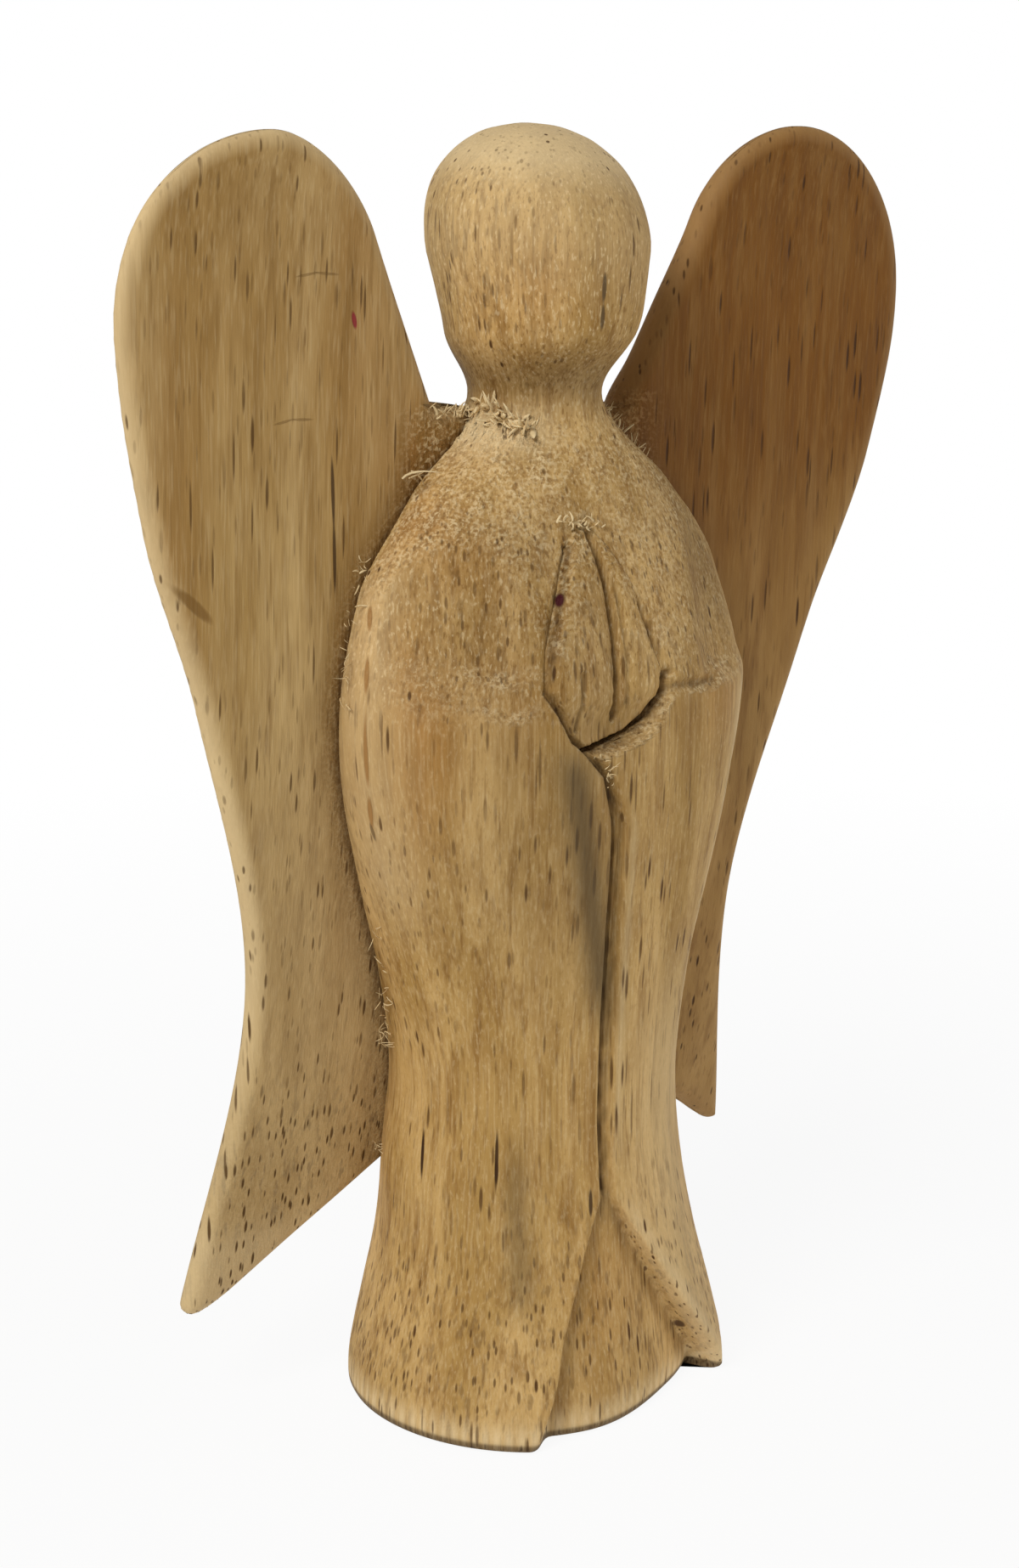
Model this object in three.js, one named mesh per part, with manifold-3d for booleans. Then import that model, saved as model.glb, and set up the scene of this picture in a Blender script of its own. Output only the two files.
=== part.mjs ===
// Carved wooden angel figurine: a body carved from one block, and two wing boards that are let into
// its sides and held by hidden bamboo pins. Units are millimetres, +Z is up, the figure faces -Y,
// and it stands on z = 0 around the origin. Right and left are the figure's own: right is -X.
import * as THREE from 'three';
import { LoftGeometry } from 'three/addons/geometries/LoftGeometry.js';
import { mergeVertices } from 'three/addons/utils/BufferGeometryUtils.js';
import Module from 'manifold-3d';

// Robe: half width, and reach to the front and the back, at the hem, the waist and the elbows.
// A rise is a height above the station before it.
const HEM_HALF_WIDTH = 24.4;
const HEM_FRONT = 23.8;
const HEM_BACK = 22.4;
const HEM_CHAMFER = 0.6;
const WAIST_Z = 38;
const WAIST_HALF_WIDTH = 17.6;
const WAIST_FRONT = 16.2;
const WAIST_BACK = 17;
const ELBOW_RISE = 48;
const ELBOW_Z = WAIST_Z + ELBOW_RISE;
const ELBOW_HALF_WIDTH = 27;
const ELBOW_FRONT = 18.8;
const ELBOW_BACK = 18.5;

// Shoulders and neck
const UPPER_ARM_RISE = 14;
const UPPER_ARM_Z = ELBOW_Z + UPPER_ARM_RISE;
const UPPER_ARM_HALF_WIDTH = 24.4;
const UPPER_ARM_FRONT = 15;
const UPPER_ARM_BACK = 16.5;
const SHOULDER_RISE = 10;
const SHOULDER_Z = UPPER_ARM_Z + SHOULDER_RISE;
const SHOULDER_HALF_WIDTH = 17.4;
const SHOULDER_FRONT = 11.4;
const SHOULDER_BACK = 13;
const NECK_RISE = 11;
const NECK_Z = SHOULDER_Z + NECK_RISE;
const NECK_HALF_WIDTH = 7.6;
const NECK_FRONT = 8;
const NECK_BACK = 7.4;

// Head: a plain egg, widest above its middle
const CHEEK_RISE = 7;
const CHEEK_Z = NECK_Z + CHEEK_RISE;
const CHEEK_HALF_WIDTH = 10.5;
const CHEEK_FRONT = 11.6;
const CHEEK_BACK = 10;
const HEAD_RISE = 9;
const HEAD_Z = CHEEK_Z + HEAD_RISE;
const HEAD_HALF_WIDTH = 12.5;
const HEAD_FRONT = 12.8;
const HEAD_BACK = 13;
const CROWN_RISE = 13.5;
const CROWN_Z = HEAD_Z + CROWN_RISE;

// Chest: a flat knife cut on each side of the hands, which leans back from a ledge at the forearms
const FACET_RISE = 2;
const FACET_Z = ELBOW_Z + FACET_RISE;
const FACET_ANGLE = 40;
const FACET_REACH = 21.2;
const FACET_LEAN = 12;
const LEDGE_FALL = 0.3;

// Praying hands: a wedge on the chest, with its foot in the V between the two cuffs
const HANDS_X = -2.2;
const HANDS_TOP_HALF_WIDTH = 1.8;
const HANDS_TOP_FRONT = 13.2;
const HANDS_WRIST_HALF_WIDTH = 6;
const HANDS_WRIST_FRONT = 18.4;
const KNUCKLE_ROUND = 2;
const PALM_GROOVE_WIDTH = 1.6;
const PALM_GROOVE_DEPTH = 0.9;
const CUFF_POINT_DROP = 5;
const CUFF_POINT_Z = ELBOW_Z - CUFF_POINT_DROP;
const CUFF_RISE = 7.5;
const CUFF_Z = CUFF_POINT_Z + CUFF_RISE;
const CUFF_HALF_WIDTH = 8.6;
const CUFF_DEPTH = 2.6;
const HANDS_WRIST_RISE = 3.5;
const HANDS_WRIST_Z = CUFF_Z + HANDS_WRIST_RISE;
const HANDS_LENGTH = 15.5;
const HANDS_TOP_Z = HANDS_WRIST_Z + HANDS_LENGTH;

// Front seam of the robe and the split at its hem, which shows the skirt beneath
const SEAM_X = -2.4;
const SEAM_WIDTH = 2.6;
const SEAM_DEPTH = 1.4;
const SPLIT_TOP_Z = 28;
const SPLIT_TOP_X = -1.9;
const SPLIT_RIGHT_X = -12.5;
const SPLIT_LEFT_X = 16;
const SKIRT_TOP_DEPTH = 1.2;
const SKIRT_HEM_DEPTH = 4.8;

// Wing outline: the outer edge from the tip to the top, then the free inner edge above the shoulder
const RIGHT_WING_TIP_Z = 14.5;
const RIGHT_WING_FOOT_Z = 31;
const LEFT_WING_TIP_Z = 18;
const LEFT_WING_FOOT_Z = 34;
const WING_TIP_X = 42.6;
const WING_TIP_WIDTH = 2.5;
const WING_WAIST_Z = 53;
const WING_WAIST_X = 36.8;
const WING_MIDDLE_RISE = 37;
const WING_MIDDLE_Z = WING_WAIST_Z + WING_MIDDLE_RISE;
const WING_MIDDLE_X = 45.2;
const WING_UPPER_RISE = 20;
const WING_UPPER_Z = WING_MIDDLE_Z + WING_UPPER_RISE;
const WING_UPPER_X = 51.8;
const WING_WIDEST_RISE = 20;
const WING_WIDEST_Z = WING_UPPER_Z + WING_WIDEST_RISE;
const WING_WIDEST_X = 54.8;
const WING_TOP_RISE = 20;
const WING_TOP_Z = WING_WIDEST_Z + WING_TOP_RISE;
const WING_TOP_X = 37;
const WING_NECK_DROP = 12;
const WING_NECK_Z = WING_TOP_Z - WING_NECK_DROP;
const WING_NECK_X = 22.7;
const WING_NECK_POWER = 1.5;
const WING_SHOULDER_RISE = 8;
const WING_SHOULDER_Z = SHOULDER_Z + WING_SHOULDER_RISE;
const WING_SHOULDER_X = 12.8;

// Wing board: its thickness, and its bend as the depth of the outer edge, swept back to the root
const WING_ROOT_THICKNESS = 5;
const WING_EDGE_THICKNESS = 2.4;
const WING_RIM_CHAMFER = 1.2;
const WING_TIP_Y = 14;
const WING_WAIST_Y = 6.4;
const WING_MIDDLE_Y = 1.2;
const WING_TOP_Y = -3;
const WING_SWEEP = 0.1;

// Joint between a wing and the body: a straight root in a housing, and two pins
const ROOT_X = 10;
const ROOT_TOP_Z = SHOULDER_Z;
const GLUE_GAP = 0.3;
const PIN_DIAMETER = 2.4;
const PIN_LENGTH = 13;
const PIN_GAP = 0.3;
const LOWER_PIN_RISE = 14;
const LOWER_PIN_Z = WAIST_Z + LOWER_PIN_RISE;
const UPPER_PIN_RISE = 8;
const UPPER_PIN_Z = ELBOW_Z + UPPER_PIN_RISE;

// Fineness of the surfaces, and how far the cutting shapes reach past the body and clear of it
const BODY_COLUMNS = 44;
const BODY_ROWS = 50;
const WING_COLUMNS = 9;
const FOOT_ROWS = 7;
const BOARD_ROWS = 18;
const ROUND_ROWS = 9;
const SEAM_ROWS = 12;
const SKIRT_ROWS = 6;
const PIN_SIDES = 16;
const MERGE_DISTANCE = 1e-4;
const CUT_REACH = 40;
const CUT_CLEAR = 0.35;

const wasm = await Module();
wasm.setup();

const { clamp, degToRad, lerp } = THREE.MathUtils;
const quarterRound = (t, power = 2) => Math.sqrt(1 - clamp(t, 0, 1) ** power);

// Evenly spaced values from one to another, with both ends.
function steps(from, to, count) {
  return Array.from({ length: count + 1 }, (_, i) => lerp(from, to, i / count));
}

// Heights up a quarter round, closer together towards its top, and the last one half a step below it.
function roundSteps(from, to) {
  const turns = steps(0, Math.PI / 2, ROUND_ROWS).slice(1, -1);
  turns.push((turns.at(-1) + Math.PI / 2) / 2);
  return turns.map((turn) => lerp(from, to, Math.sin(turn)));
}

// The stretch between two stations that holds a height, and how far up it the height lies.
function stretchAt(stations, z) {
  let i = 0;
  while (i < stations.length - 2 && z > stations[i + 1][0]) i += 1;
  const span = stations[i + 1][0] - stations[i][0];
  return { i, span, t: clamp((z - stations[i][0]) / span, 0, 1) };
}

// A value over height, straight from station to station.
function straightProfile(stations) {
  return (z) => {
    const { i, t } = stretchAt(stations, z);
    return lerp(stations[i][1], stations[i + 1][1], t);
  };
}

// A value over height, in a smooth curve through the stations that never swings past them.
function smoothProfile(stations) {
  const last = stations.length - 1;
  const rise = stations.slice(1).map(([z, v], i) => (v - stations[i][1]) / (z - stations[i][0]));
  const slope = stations.map((_, i) => {
    if (i === 0 || i === last) return rise[Math.min(i, last - 1)];
    const turns = rise[i - 1] * rise[i] <= 0;
    return turns ? 0 : (2 * rise[i - 1] * rise[i]) / (rise[i - 1] + rise[i]);
  });
  return (z) => {
    const { i, span, t } = stretchAt(stations, z);
    const s = 1 - t;
    const ends = stations[i][1] * (1 + 2 * t) * s * s + stations[i + 1][1] * t * t * (3 - 2 * t);
    return ends + span * t * s * (slope[i] * s - slope[i + 1] * t);
  };
}

// One measure of the body over its height, with the head closed by a quarter round at the crown.
function bodyProfile(hem, waist, elbow, upperArm, shoulder, neck, cheek, head) {
  const below = smoothProfile([
    [0, hem],
    [WAIST_Z, waist],
    [ELBOW_Z, elbow],
    [UPPER_ARM_Z, upperArm],
    [SHOULDER_Z, shoulder],
    [NECK_Z, neck],
    [CHEEK_Z, cheek],
    [HEAD_Z, head],
  ]);
  return (z) => (z <= HEAD_Z ? below(z) : head * quarterRound((z - HEAD_Z) / (CROWN_Z - HEAD_Z)));
}

const halfWidth = bodyProfile(
  HEM_HALF_WIDTH,
  WAIST_HALF_WIDTH,
  ELBOW_HALF_WIDTH,
  UPPER_ARM_HALF_WIDTH,
  SHOULDER_HALF_WIDTH,
  NECK_HALF_WIDTH,
  CHEEK_HALF_WIDTH,
  HEAD_HALF_WIDTH,
);
const frontReach = bodyProfile(
  HEM_FRONT,
  WAIST_FRONT,
  ELBOW_FRONT,
  UPPER_ARM_FRONT,
  SHOULDER_FRONT,
  NECK_FRONT,
  CHEEK_FRONT,
  HEAD_FRONT,
);
const backReach = bodyProfile(
  HEM_BACK,
  WAIST_BACK,
  ELBOW_BACK,
  UPPER_ARM_BACK,
  SHOULDER_BACK,
  NECK_BACK,
  CHEEK_BACK,
  HEAD_BACK,
);

function loft(rings) {
  return new LoftGeometry(rings, { closed: true, capStart: true, capEnd: true });
}

function atHeight(ring, z) {
  return ring.map(({ x, y }) => new THREE.Vector3(x, y, z));
}

// The round section of the body at a height, moved in towards the axis by an inset.
function bodyRing(z, inset = 0) {
  return Array.from({ length: BODY_COLUMNS }, (_, i) => {
    const angle = (2 * Math.PI * i) / BODY_COLUMNS;
    const facing = Math.cos(angle);
    const x = halfWidth(z) * Math.sin(angle);
    const y = -facing * (facing > 0 ? frontReach(z) : backReach(z));
    const keep = 1 - inset / Math.hypot(x, y);
    return new THREE.Vector3(x * keep, y * keep, z);
  });
}

// The body before it is carved: a chamfered foot, then rings up to the crown.
function roundBodyGeometry() {
  const levels = [...steps(HEM_CHAMFER, HEAD_Z, BODY_ROWS), ...roundSteps(HEAD_Z, CROWN_Z)];
  const crown = atHeight(bodyRing(levels.pop()), CROWN_Z);
  return loft([bodyRing(0, HEM_CHAMFER), ...levels.map((z) => bodyRing(z)), crown]);
}

// A flat outline in x and z, extruded from one depth to another along y.
function plateGeometry(outline, fromY, toY) {
  const shape = new THREE.Shape(outline.map(([x, z]) => new THREE.Vector2(x, z)));
  const plate = new THREE.ExtrudeGeometry(shape, { depth: toY - fromY, bevelEnabled: false });
  plate.rotateX(Math.PI / 2);
  plate.translate(0, toY, 0);
  return plate;
}

// What the knife takes off one side of the chest: all that lies past a leaning plane above a ledge.
function facetGeometry(side) {
  const tall = NECK_Z - FACET_Z;
  const outline = [
    [0, 0],
    [tall * Math.tan(degToRad(FACET_LEAN)), tall],
    [-CUT_REACH, tall],
    [-CUT_REACH, -CUT_REACH * LEDGE_FALL],
  ];
  const cut = plateGeometry(outline, -CUT_REACH, CUT_REACH);
  cut.rotateZ(Math.PI / 2);
  cut.translate(0, -FACET_REACH, FACET_Z);
  cut.rotateZ(side * degToRad(FACET_ANGLE));
  return cut;
}

// The V between the cuffs, cut to one depth behind the front of the robe.
function cuffNotchGeometry() {
  const outline = [
    [HANDS_X, CUFF_POINT_Z],
    [HANDS_X + CUFF_HALF_WIDTH, CUFF_Z],
    [HANDS_X + CUFF_HALF_WIDTH, HANDS_WRIST_Z],
    [HANDS_X - CUFF_HALF_WIDTH, HANDS_WRIST_Z],
    [HANDS_X - CUFF_HALF_WIDTH, CUFF_Z],
  ];
  return plateGeometry(outline, -CUT_REACH, CUFF_DEPTH - frontReach(CUFF_POINT_Z));
}

// A section of the hands at a height: two palms with a groove between them, and the chest behind.
function handsRing(z, half, front) {
  const groove = Math.min(PALM_GROOVE_WIDTH, half) / 2;
  const knuckle = (KNUCKLE_ROUND * half) / HANDS_WRIST_HALF_WIDTH;
  const section = [
    [-half, knuckle - front],
    [-groove - knuckle, -front],
    [-groove, -front],
    [0, PALM_GROOVE_DEPTH - front],
    [groove, -front],
    [groove + knuckle, -front],
    [half, knuckle - front],
    [half, 0],
    [-half, 0],
  ];
  return section.map(([x, y]) => new THREE.Vector3(HANDS_X + x, y, z));
}

function handsGeometry() {
  return loft([
    handsRing(CUFF_POINT_Z - CUFF_DEPTH, CUFF_HALF_WIDTH / 2, frontReach(CUFF_POINT_Z) - CUFF_DEPTH),
    handsRing(HANDS_WRIST_Z, HANDS_WRIST_HALF_WIDTH, HANDS_WRIST_FRONT),
    handsRing(HANDS_TOP_Z, HANDS_TOP_HALF_WIDTH, HANDS_TOP_FRONT),
  ]);
}

// The seam down the front: a V groove that follows the robe from the split up to the cuffs.
function seamGeometry() {
  const rings = steps(SPLIT_TOP_Z - SEAM_WIDTH, CUFF_POINT_Z + SEAM_WIDTH, SEAM_ROWS).map((z) => {
    const mouth = -frontReach(z) - CUT_CLEAR;
    return [
      new THREE.Vector3(SEAM_X - SEAM_WIDTH / 2, mouth, z),
      new THREE.Vector3(SEAM_X + SEAM_WIDTH / 2, mouth, z),
      new THREE.Vector3(SEAM_X, SEAM_DEPTH - frontReach(z), z),
    ];
  });
  return loft(rings);
}

// What is cut out of the split: a tall triangle of the robe in front of the skirt beneath.
function splitSolid() {
  const outline = [
    [SPLIT_TOP_X, SPLIT_TOP_Z],
    [SPLIT_RIGHT_X, 0],
    [SPLIT_RIGHT_X, -CUT_CLEAR],
    [SPLIT_LEFT_X, -CUT_CLEAR],
    [SPLIT_LEFT_X, 0],
  ];
  const skirt = steps(0, SPLIT_TOP_Z, SKIRT_ROWS).map((z) => {
    return bodyRing(z, lerp(SKIRT_HEM_DEPTH, SKIRT_TOP_DEPTH, z / SPLIT_TOP_Z));
  });
  skirt.unshift(atHeight(skirt[0], -2 * CUT_CLEAR));
  return toSolid(plateGeometry(outline, -CUT_REACH, 0)).subtract(toSolid(loft(skirt)));
}

// The edges of a wing and the depth of its middle, over height, for a wing on the +X side.
function wingShape(tipZ, footZ) {
  const outerBelow = smoothProfile([
    [tipZ, WING_TIP_X],
    [WING_WAIST_Z, WING_WAIST_X],
    [WING_MIDDLE_Z, WING_MIDDLE_X],
    [WING_UPPER_Z, WING_UPPER_X],
    [WING_WIDEST_Z, WING_WIDEST_X],
  ]);
  const innerBelow = straightProfile([
    [tipZ, WING_TIP_X - WING_TIP_WIDTH],
    [footZ, ROOT_X],
    [ROOT_TOP_Z, ROOT_X],
    [WING_SHOULDER_Z, WING_SHOULDER_X],
    [WING_NECK_Z, WING_NECK_X],
  ]);
  const bend = smoothProfile([
    [tipZ, WING_TIP_Y],
    [WING_WAIST_Z, WING_WAIST_Y],
    [WING_MIDDLE_Z, WING_MIDDLE_Y],
    [WING_TOP_Z, WING_TOP_Y],
  ]);
  const rounded = (edge, fromZ, fromX, power) => (z) => {
    const t = (z - fromZ) / (WING_TOP_Z - fromZ);
    return t <= 0 ? edge(z) : lerp(WING_TOP_X, fromX, quarterRound(t, power));
  };
  const outer = rounded(outerBelow, WING_WIDEST_Z, WING_WIDEST_X);
  const inner = rounded(innerBelow, WING_NECK_Z, WING_NECK_X, WING_NECK_POWER);
  const middle = (x, z) => bend(z) + WING_SWEEP * (outer(z) - x);
  return { tipZ, footZ, outer, inner, middle };
}

// A ring round the board at one height: along the front face, then back along the rear face.
function wingRing({ inner, outer, middle }, z, grow) {
  const face = (turn, sign) => {
    const x = lerp(inner(z) - grow, outer(z) + grow, (1 - Math.cos(turn)) / 2);
    const reach = clamp((x - ROOT_X) / (WING_WIDEST_X - ROOT_X), 0, 1);
    const thickness = lerp(WING_ROOT_THICKNESS, WING_EDGE_THICKNESS, reach);
    const atRim = turn === 0 || turn === Math.PI;
    const chamfer = atRim ? Math.min(WING_RIM_CHAMFER, thickness / 2) : 0;
    return new THREE.Vector3(x, middle(x, z) + sign * ((thickness - chamfer) / 2 + grow), z);
  };
  const along = steps(0, Math.PI, WING_COLUMNS - 1);
  return [...along.map((turn) => face(turn, -1)), ...along.reverse().map((turn) => face(turn, 1))];
}

// A wing board, grown by a gap on every side where it serves to cut its housing.
function wingGeometry(shape, side, grow = 0) {
  const levels = [
    ...steps(shape.tipZ, shape.footZ, FOOT_ROWS),
    ...steps(shape.footZ, WING_WIDEST_Z, BOARD_ROWS).slice(1),
    ...roundSteps(WING_WIDEST_Z, WING_TOP_Z),
  ];
  const rings = levels.map((z) => wingRing(shape, z, grow));
  rings[0] = atHeight(rings[0], shape.tipZ - 2 * grow);
  const mirrored = (ring) => ring.map(({ x, y, z }) => new THREE.Vector3(-x, y, z)).reverse();
  return loft(side > 0 ? rings : rings.map(mirrored));
}

// A pin along the board, half in the wing's root and half in the body.
function pinGeometry(shape, side, z, grow = 0) {
  const radius = PIN_DIAMETER / 2 + grow;
  const pin = new THREE.CylinderGeometry(radius, radius, PIN_LENGTH + 2 * grow, PIN_SIDES);
  pin.rotateZ(Math.PI / 2 - side * Math.atan(WING_SWEEP));
  pin.translate(side * ROOT_X, shape.middle(ROOT_X, z), z);
  return pin;
}

function toSolid(geometry) {
  const bare = new THREE.BufferGeometry();
  bare.setAttribute('position', geometry.getAttribute('position'));
  bare.setIndex(geometry.getIndex());
  const merged = mergeVertices(bare, MERGE_DISTANCE);
  return new wasm.Manifold(
    new wasm.Mesh({
      numProp: 3,
      vertProperties: merged.getAttribute('position').array,
      triVerts: new Uint32Array(merged.getIndex().array),
    }),
  );
}

function toGeometry(solid) {
  const mesh = solid.getMesh();
  const geometry = new THREE.BufferGeometry();
  geometry.setAttribute('position', new THREE.BufferAttribute(mesh.vertProperties, 3));
  geometry.setIndex(new THREE.BufferAttribute(mesh.triVerts, 1));
  geometry.computeVertexNormals();
  return geometry;
}

const bodyWood = new THREE.MeshStandardMaterial({ color: 0xc39a5e, roughness: 0.7, metalness: 0 });
const wingWood = new THREE.MeshStandardMaterial({ color: 0xbd935a, roughness: 0.7, metalness: 0 });
const bamboo = new THREE.MeshStandardMaterial({ color: 0xd9c08a, roughness: 0.6, metalness: 0 });

const figurine = new THREE.Group();

function addPiece(name, geometry, material) {
  const mesh = new THREE.Mesh(geometry, material);
  mesh.name = name;
  figurine.add(mesh);
}

// The carved body: knife cuts on the chest, the seam, the split hem, the cuffs and the hands
let body = toSolid(roundBodyGeometry());
for (const side of [-1, 1]) body = body.subtract(toSolid(facetGeometry(side)));
body = body.subtract(toSolid(seamGeometry())).subtract(splitSolid());
body = body.subtract(toSolid(cuffNotchGeometry())).add(toSolid(handsGeometry()));

// The wings and their pins, each with its housing and holes
const wings = [
  ['right_wing', -1, wingShape(RIGHT_WING_TIP_Z, RIGHT_WING_FOOT_Z)],
  ['left_wing', 1, wingShape(LEFT_WING_TIP_Z, LEFT_WING_FOOT_Z)],
];
for (const [name, side, shape] of wings) {
  body = body.subtract(toSolid(wingGeometry(shape, side, GLUE_GAP)));
  let wing = toSolid(wingGeometry(shape, side));
  for (const [place, z] of [
    ['lower', LOWER_PIN_Z],
    ['upper', UPPER_PIN_Z],
  ]) {
    const hole = toSolid(pinGeometry(shape, side, z, PIN_GAP));
    body = body.subtract(hole);
    wing = wing.subtract(hole);
    addPiece(`${name}_${place}_pin`, pinGeometry(shape, side, z), bamboo);
  }
  addPiece(name, toGeometry(wing), wingWood);
}
addPiece('carved_body', toGeometry(body), bodyWood);

export default figurine;
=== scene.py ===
"""A carved wooden angel: a plain egg head, praying hands and a long robe, with two wing boards.

Sizes are in millimetres until a mesh is made, which is in metres. The figure stands on z = 0 and
faces -Y, and right and left are its own: right is -X. The grain of the wood runs along Z.
"""

import bpy
import numpy as np
from mathutils import Matrix, Vector


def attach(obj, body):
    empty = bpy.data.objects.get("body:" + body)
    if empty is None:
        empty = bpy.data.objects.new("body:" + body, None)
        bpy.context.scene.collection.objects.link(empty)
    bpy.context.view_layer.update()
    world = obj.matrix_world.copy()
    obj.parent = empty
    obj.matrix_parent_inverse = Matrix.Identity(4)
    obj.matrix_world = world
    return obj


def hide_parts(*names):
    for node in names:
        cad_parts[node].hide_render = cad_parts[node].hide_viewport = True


MM = 0.001
rng = np.random.default_rng(11)

# Camera: the photograph's angle and framing
CAMERA_PLACE = (-183.4, -229.8, 152)
CAMERA_LOOK = (0.5955, 0.7622, -0.2538)
CAMERA_LENS = 59.1
CAMERA_NEAR = 10

# Body: height, half width, reach to the front and reach to the back
BODY_STATIONS = [
    (0, 24.4, 23.8, 22.4),  # hem
    (38, 17.6, 16.2, 17),  # waist
    (86, 27, 18.8, 18.5),  # elbows
    (100, 24.4, 15, 16.5),  # upper arms
    (110, 17.4, 11.4, 13),  # shoulders
    (121, 7.6, 8, 7.4),  # neck
    (128, 10.8, 11.7, 10.3),  # cheeks
    (137, 12.5, 12.8, 13),  # head
]
HEAD_Z = 137
CROWN_Z = 150.5
CROWN_POWER = 2.4
HEAD_LEAN = [
    (112, 0), (118, 0.25), (121, 0.35), (124.5, 0.3), (130, -0.35), (137, -0.15),
    (143, 0.45), (CROWN_Z, 1.2),
]
HEAD_LEAN_WAY = (-0.79, 0.61)
# Swells of one side: the way in x, the height and half height
SWELLS = [(-1.1, 31, 8), (0.9, 90, 11)]
SWELL_SIDE = (0.3, 0.9)  # sine of the angle it comes in over
HEM_ROUND = 0.8
HEM_BAND_Z = 5
HEM_BAND_DEPTH = 0.6
FRONT_FACING = 0.25
CARVED_TOP_Z = 118

# Chest: a flat cut on each side that leans back from the forearms, where it fades, and its ledges
FACET_Z = 88
FACET_ANGLE = np.radians(40)
FACET_REACH = 20.3
FACET_LEAN = np.tan(np.radians(12))
FACET_BLEND = 0.5
FACET_END_Z = (108, 116)
CHEST_MIDDLE_X = (-4, 4)
SLEEVE_X = (-21, -14)
ELBOW_X = (13, 22)
ELBOW_SHARE = 0.75
RIGHT_LEDGES = [(87.2, 89), (90.9, 92.9)]
LEFT_LEDGES = [(87, 90.4)]
SLEEVE_LEDGE = [(84, 95)]
LEDGE_WAVE = 0.4
LEDGE_WAVE_LENGTH = 8.5

# The two edges that run up the front: the split hem, the seam, the cuffs and the sides of the hands
RIGHT_EDGE = [
    (0, -13.2), (2.6, -12.6), (13, -9.9), (22.3, -6.1), (28.5, -3.3), (32, -3.2), (74, -3.2),
    (80, -4.4), (83, -7.2), (84.8, -8.8), (88, -10.2), (90, -11.4), (94.5, -10.6), (101.5, -7.6),
    (105, -6), (107.5, -4), (110, -3.2), (CROWN_Z, -3.2),
]
LEFT_EDGE = [
    (0, 16.5), (2, 15.5), (12.3, 8.1), (23.7, 0.9), (28.5, -1.4), (32, -1.3), (74, -1.3),
    (80, -3.4), (82.8, -6), (84.2, -0.8), (85.6, 2.3), (88.2, 4.4), (90, 4.5), (94.5, 3.2),
    (101.5, 1.6), (105, -0.4), (107.5, -2.4), (110, -1.3), (CROWN_Z, -1.3),
]
EDGE_WALL = 0.5
CORNER_ROUND = 5
CORNER_Z = 10
BEVEL_TOP = 0.7
BEVEL_HEM = 3.2
SPLIT_TOP_Z = 28.5
SPLIT_POWER = 0.8
SEAM_DEPTH = 0.8
SKIRT_DEPTH_RIGHT = 4.2
SKIRT_DEPTH_LEFT = 6.4
SKIRT_X = (-7, 10)
CUFF_FOOT_Z = 79.5
CUFF_POINT_Z = 82

# Lines cut with the knife's tip into the front: their x and z, half width, depth, and the strength of
# the painted shade in them
CUT_LINES = [
    ([(-6.2, 82.8), (-0.8, 83.9), (2.3, 85.6), (4.4, 88.2), (4.9, 90.5)], 0.8, 1.9, 1),
    ([(-11.2, 90.2), (-9.8, 87.6), (-8.5, 84.8), (-6.2, 82.8)], 0.6, 0.9, 0.75),
    ([(-6.2, 82.8), (-4.2, 80.2), (-3, 76)], 0.9, 0.5, 0.7),
    ([(-11.2, 90.2), (-10.4, 94.5), (-7.4, 101.5), (-5.6, 105.2)], 0.5, 0.6, 0.55),
    ([(-2.3, 86.4), (-2.1, 95), (-1.9, 101), (-2.7, 106.4)], 0.55, 0.9, 0.7),
    ([(-0.8, 88), (-0.7, 95), (-1.1, 101)], 0.4, 0.35, 0.35),
    ([(-7.6, 85.6), (-7.3, 88.5), (-7.4, 92)], 0.4, 0.4, 0.6),
    ([(4.9, 90.5), (3.4, 94.5), (2.2, 98.5)], 0.5, 0.4, 0.4),
    ([(5.2, 89), (8, 88.9), (14, 88.2)], 0.8, 0.6, 0.55),
    ([(-3, 76), (-2.9, 60), (-2.6, 42), (-2.4, 29)], 0.55, 0.4, 0.75),
]
CUT_SHADE = 0.6

# Hands: how far forward they stand over height, and the groove between the palms
HANDS_FRONT = [
    (80, 17.8), (82.5, 17.2), (84.5, 16.7), (86.5, 16.7), (89, 17), (92, 16.8), (99, 15.2),
    (105, 13.1), (108, 11.9),
]
HANDS_FADE_Z = 106.5
HANDS_TOP_Z = 109
PALM_X = -2.2
PALM_SWELL = 0.9
PALM_Z = (85, 90), (103, 109)  # heights it comes in and goes out over

# Torn grain: how far the wood faces up there, the heights, the patches' width and length, and the tears
TORN_FACING = (0.12, 0.55)
TORN_FOOT_Z = 80
TORN_TOP_Z = 122
TORN_PATCH = (3.4, 5.2)
TORN_LEVEL = 0.6
PATCH_CONTRAST = 0.7
NECK_TEAR_Z = (117.5, 2.2)  # middle and half height
NECK_TEAR_TURN = (-150, -110), (-50, -10)  # degrees it comes in and goes out over
LEFT_TEAR_Z = (114.5, 4)
LEFT_TEAR_TURN = (78, 26)  # middle and half width in degrees
LEFT_TEAR = 0.9
CALM_SLEEVE = 0.7
CALM_SLEEVE_Z = (88, 9)
CALM_SLEEVE_X = (-19, -15)

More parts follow.
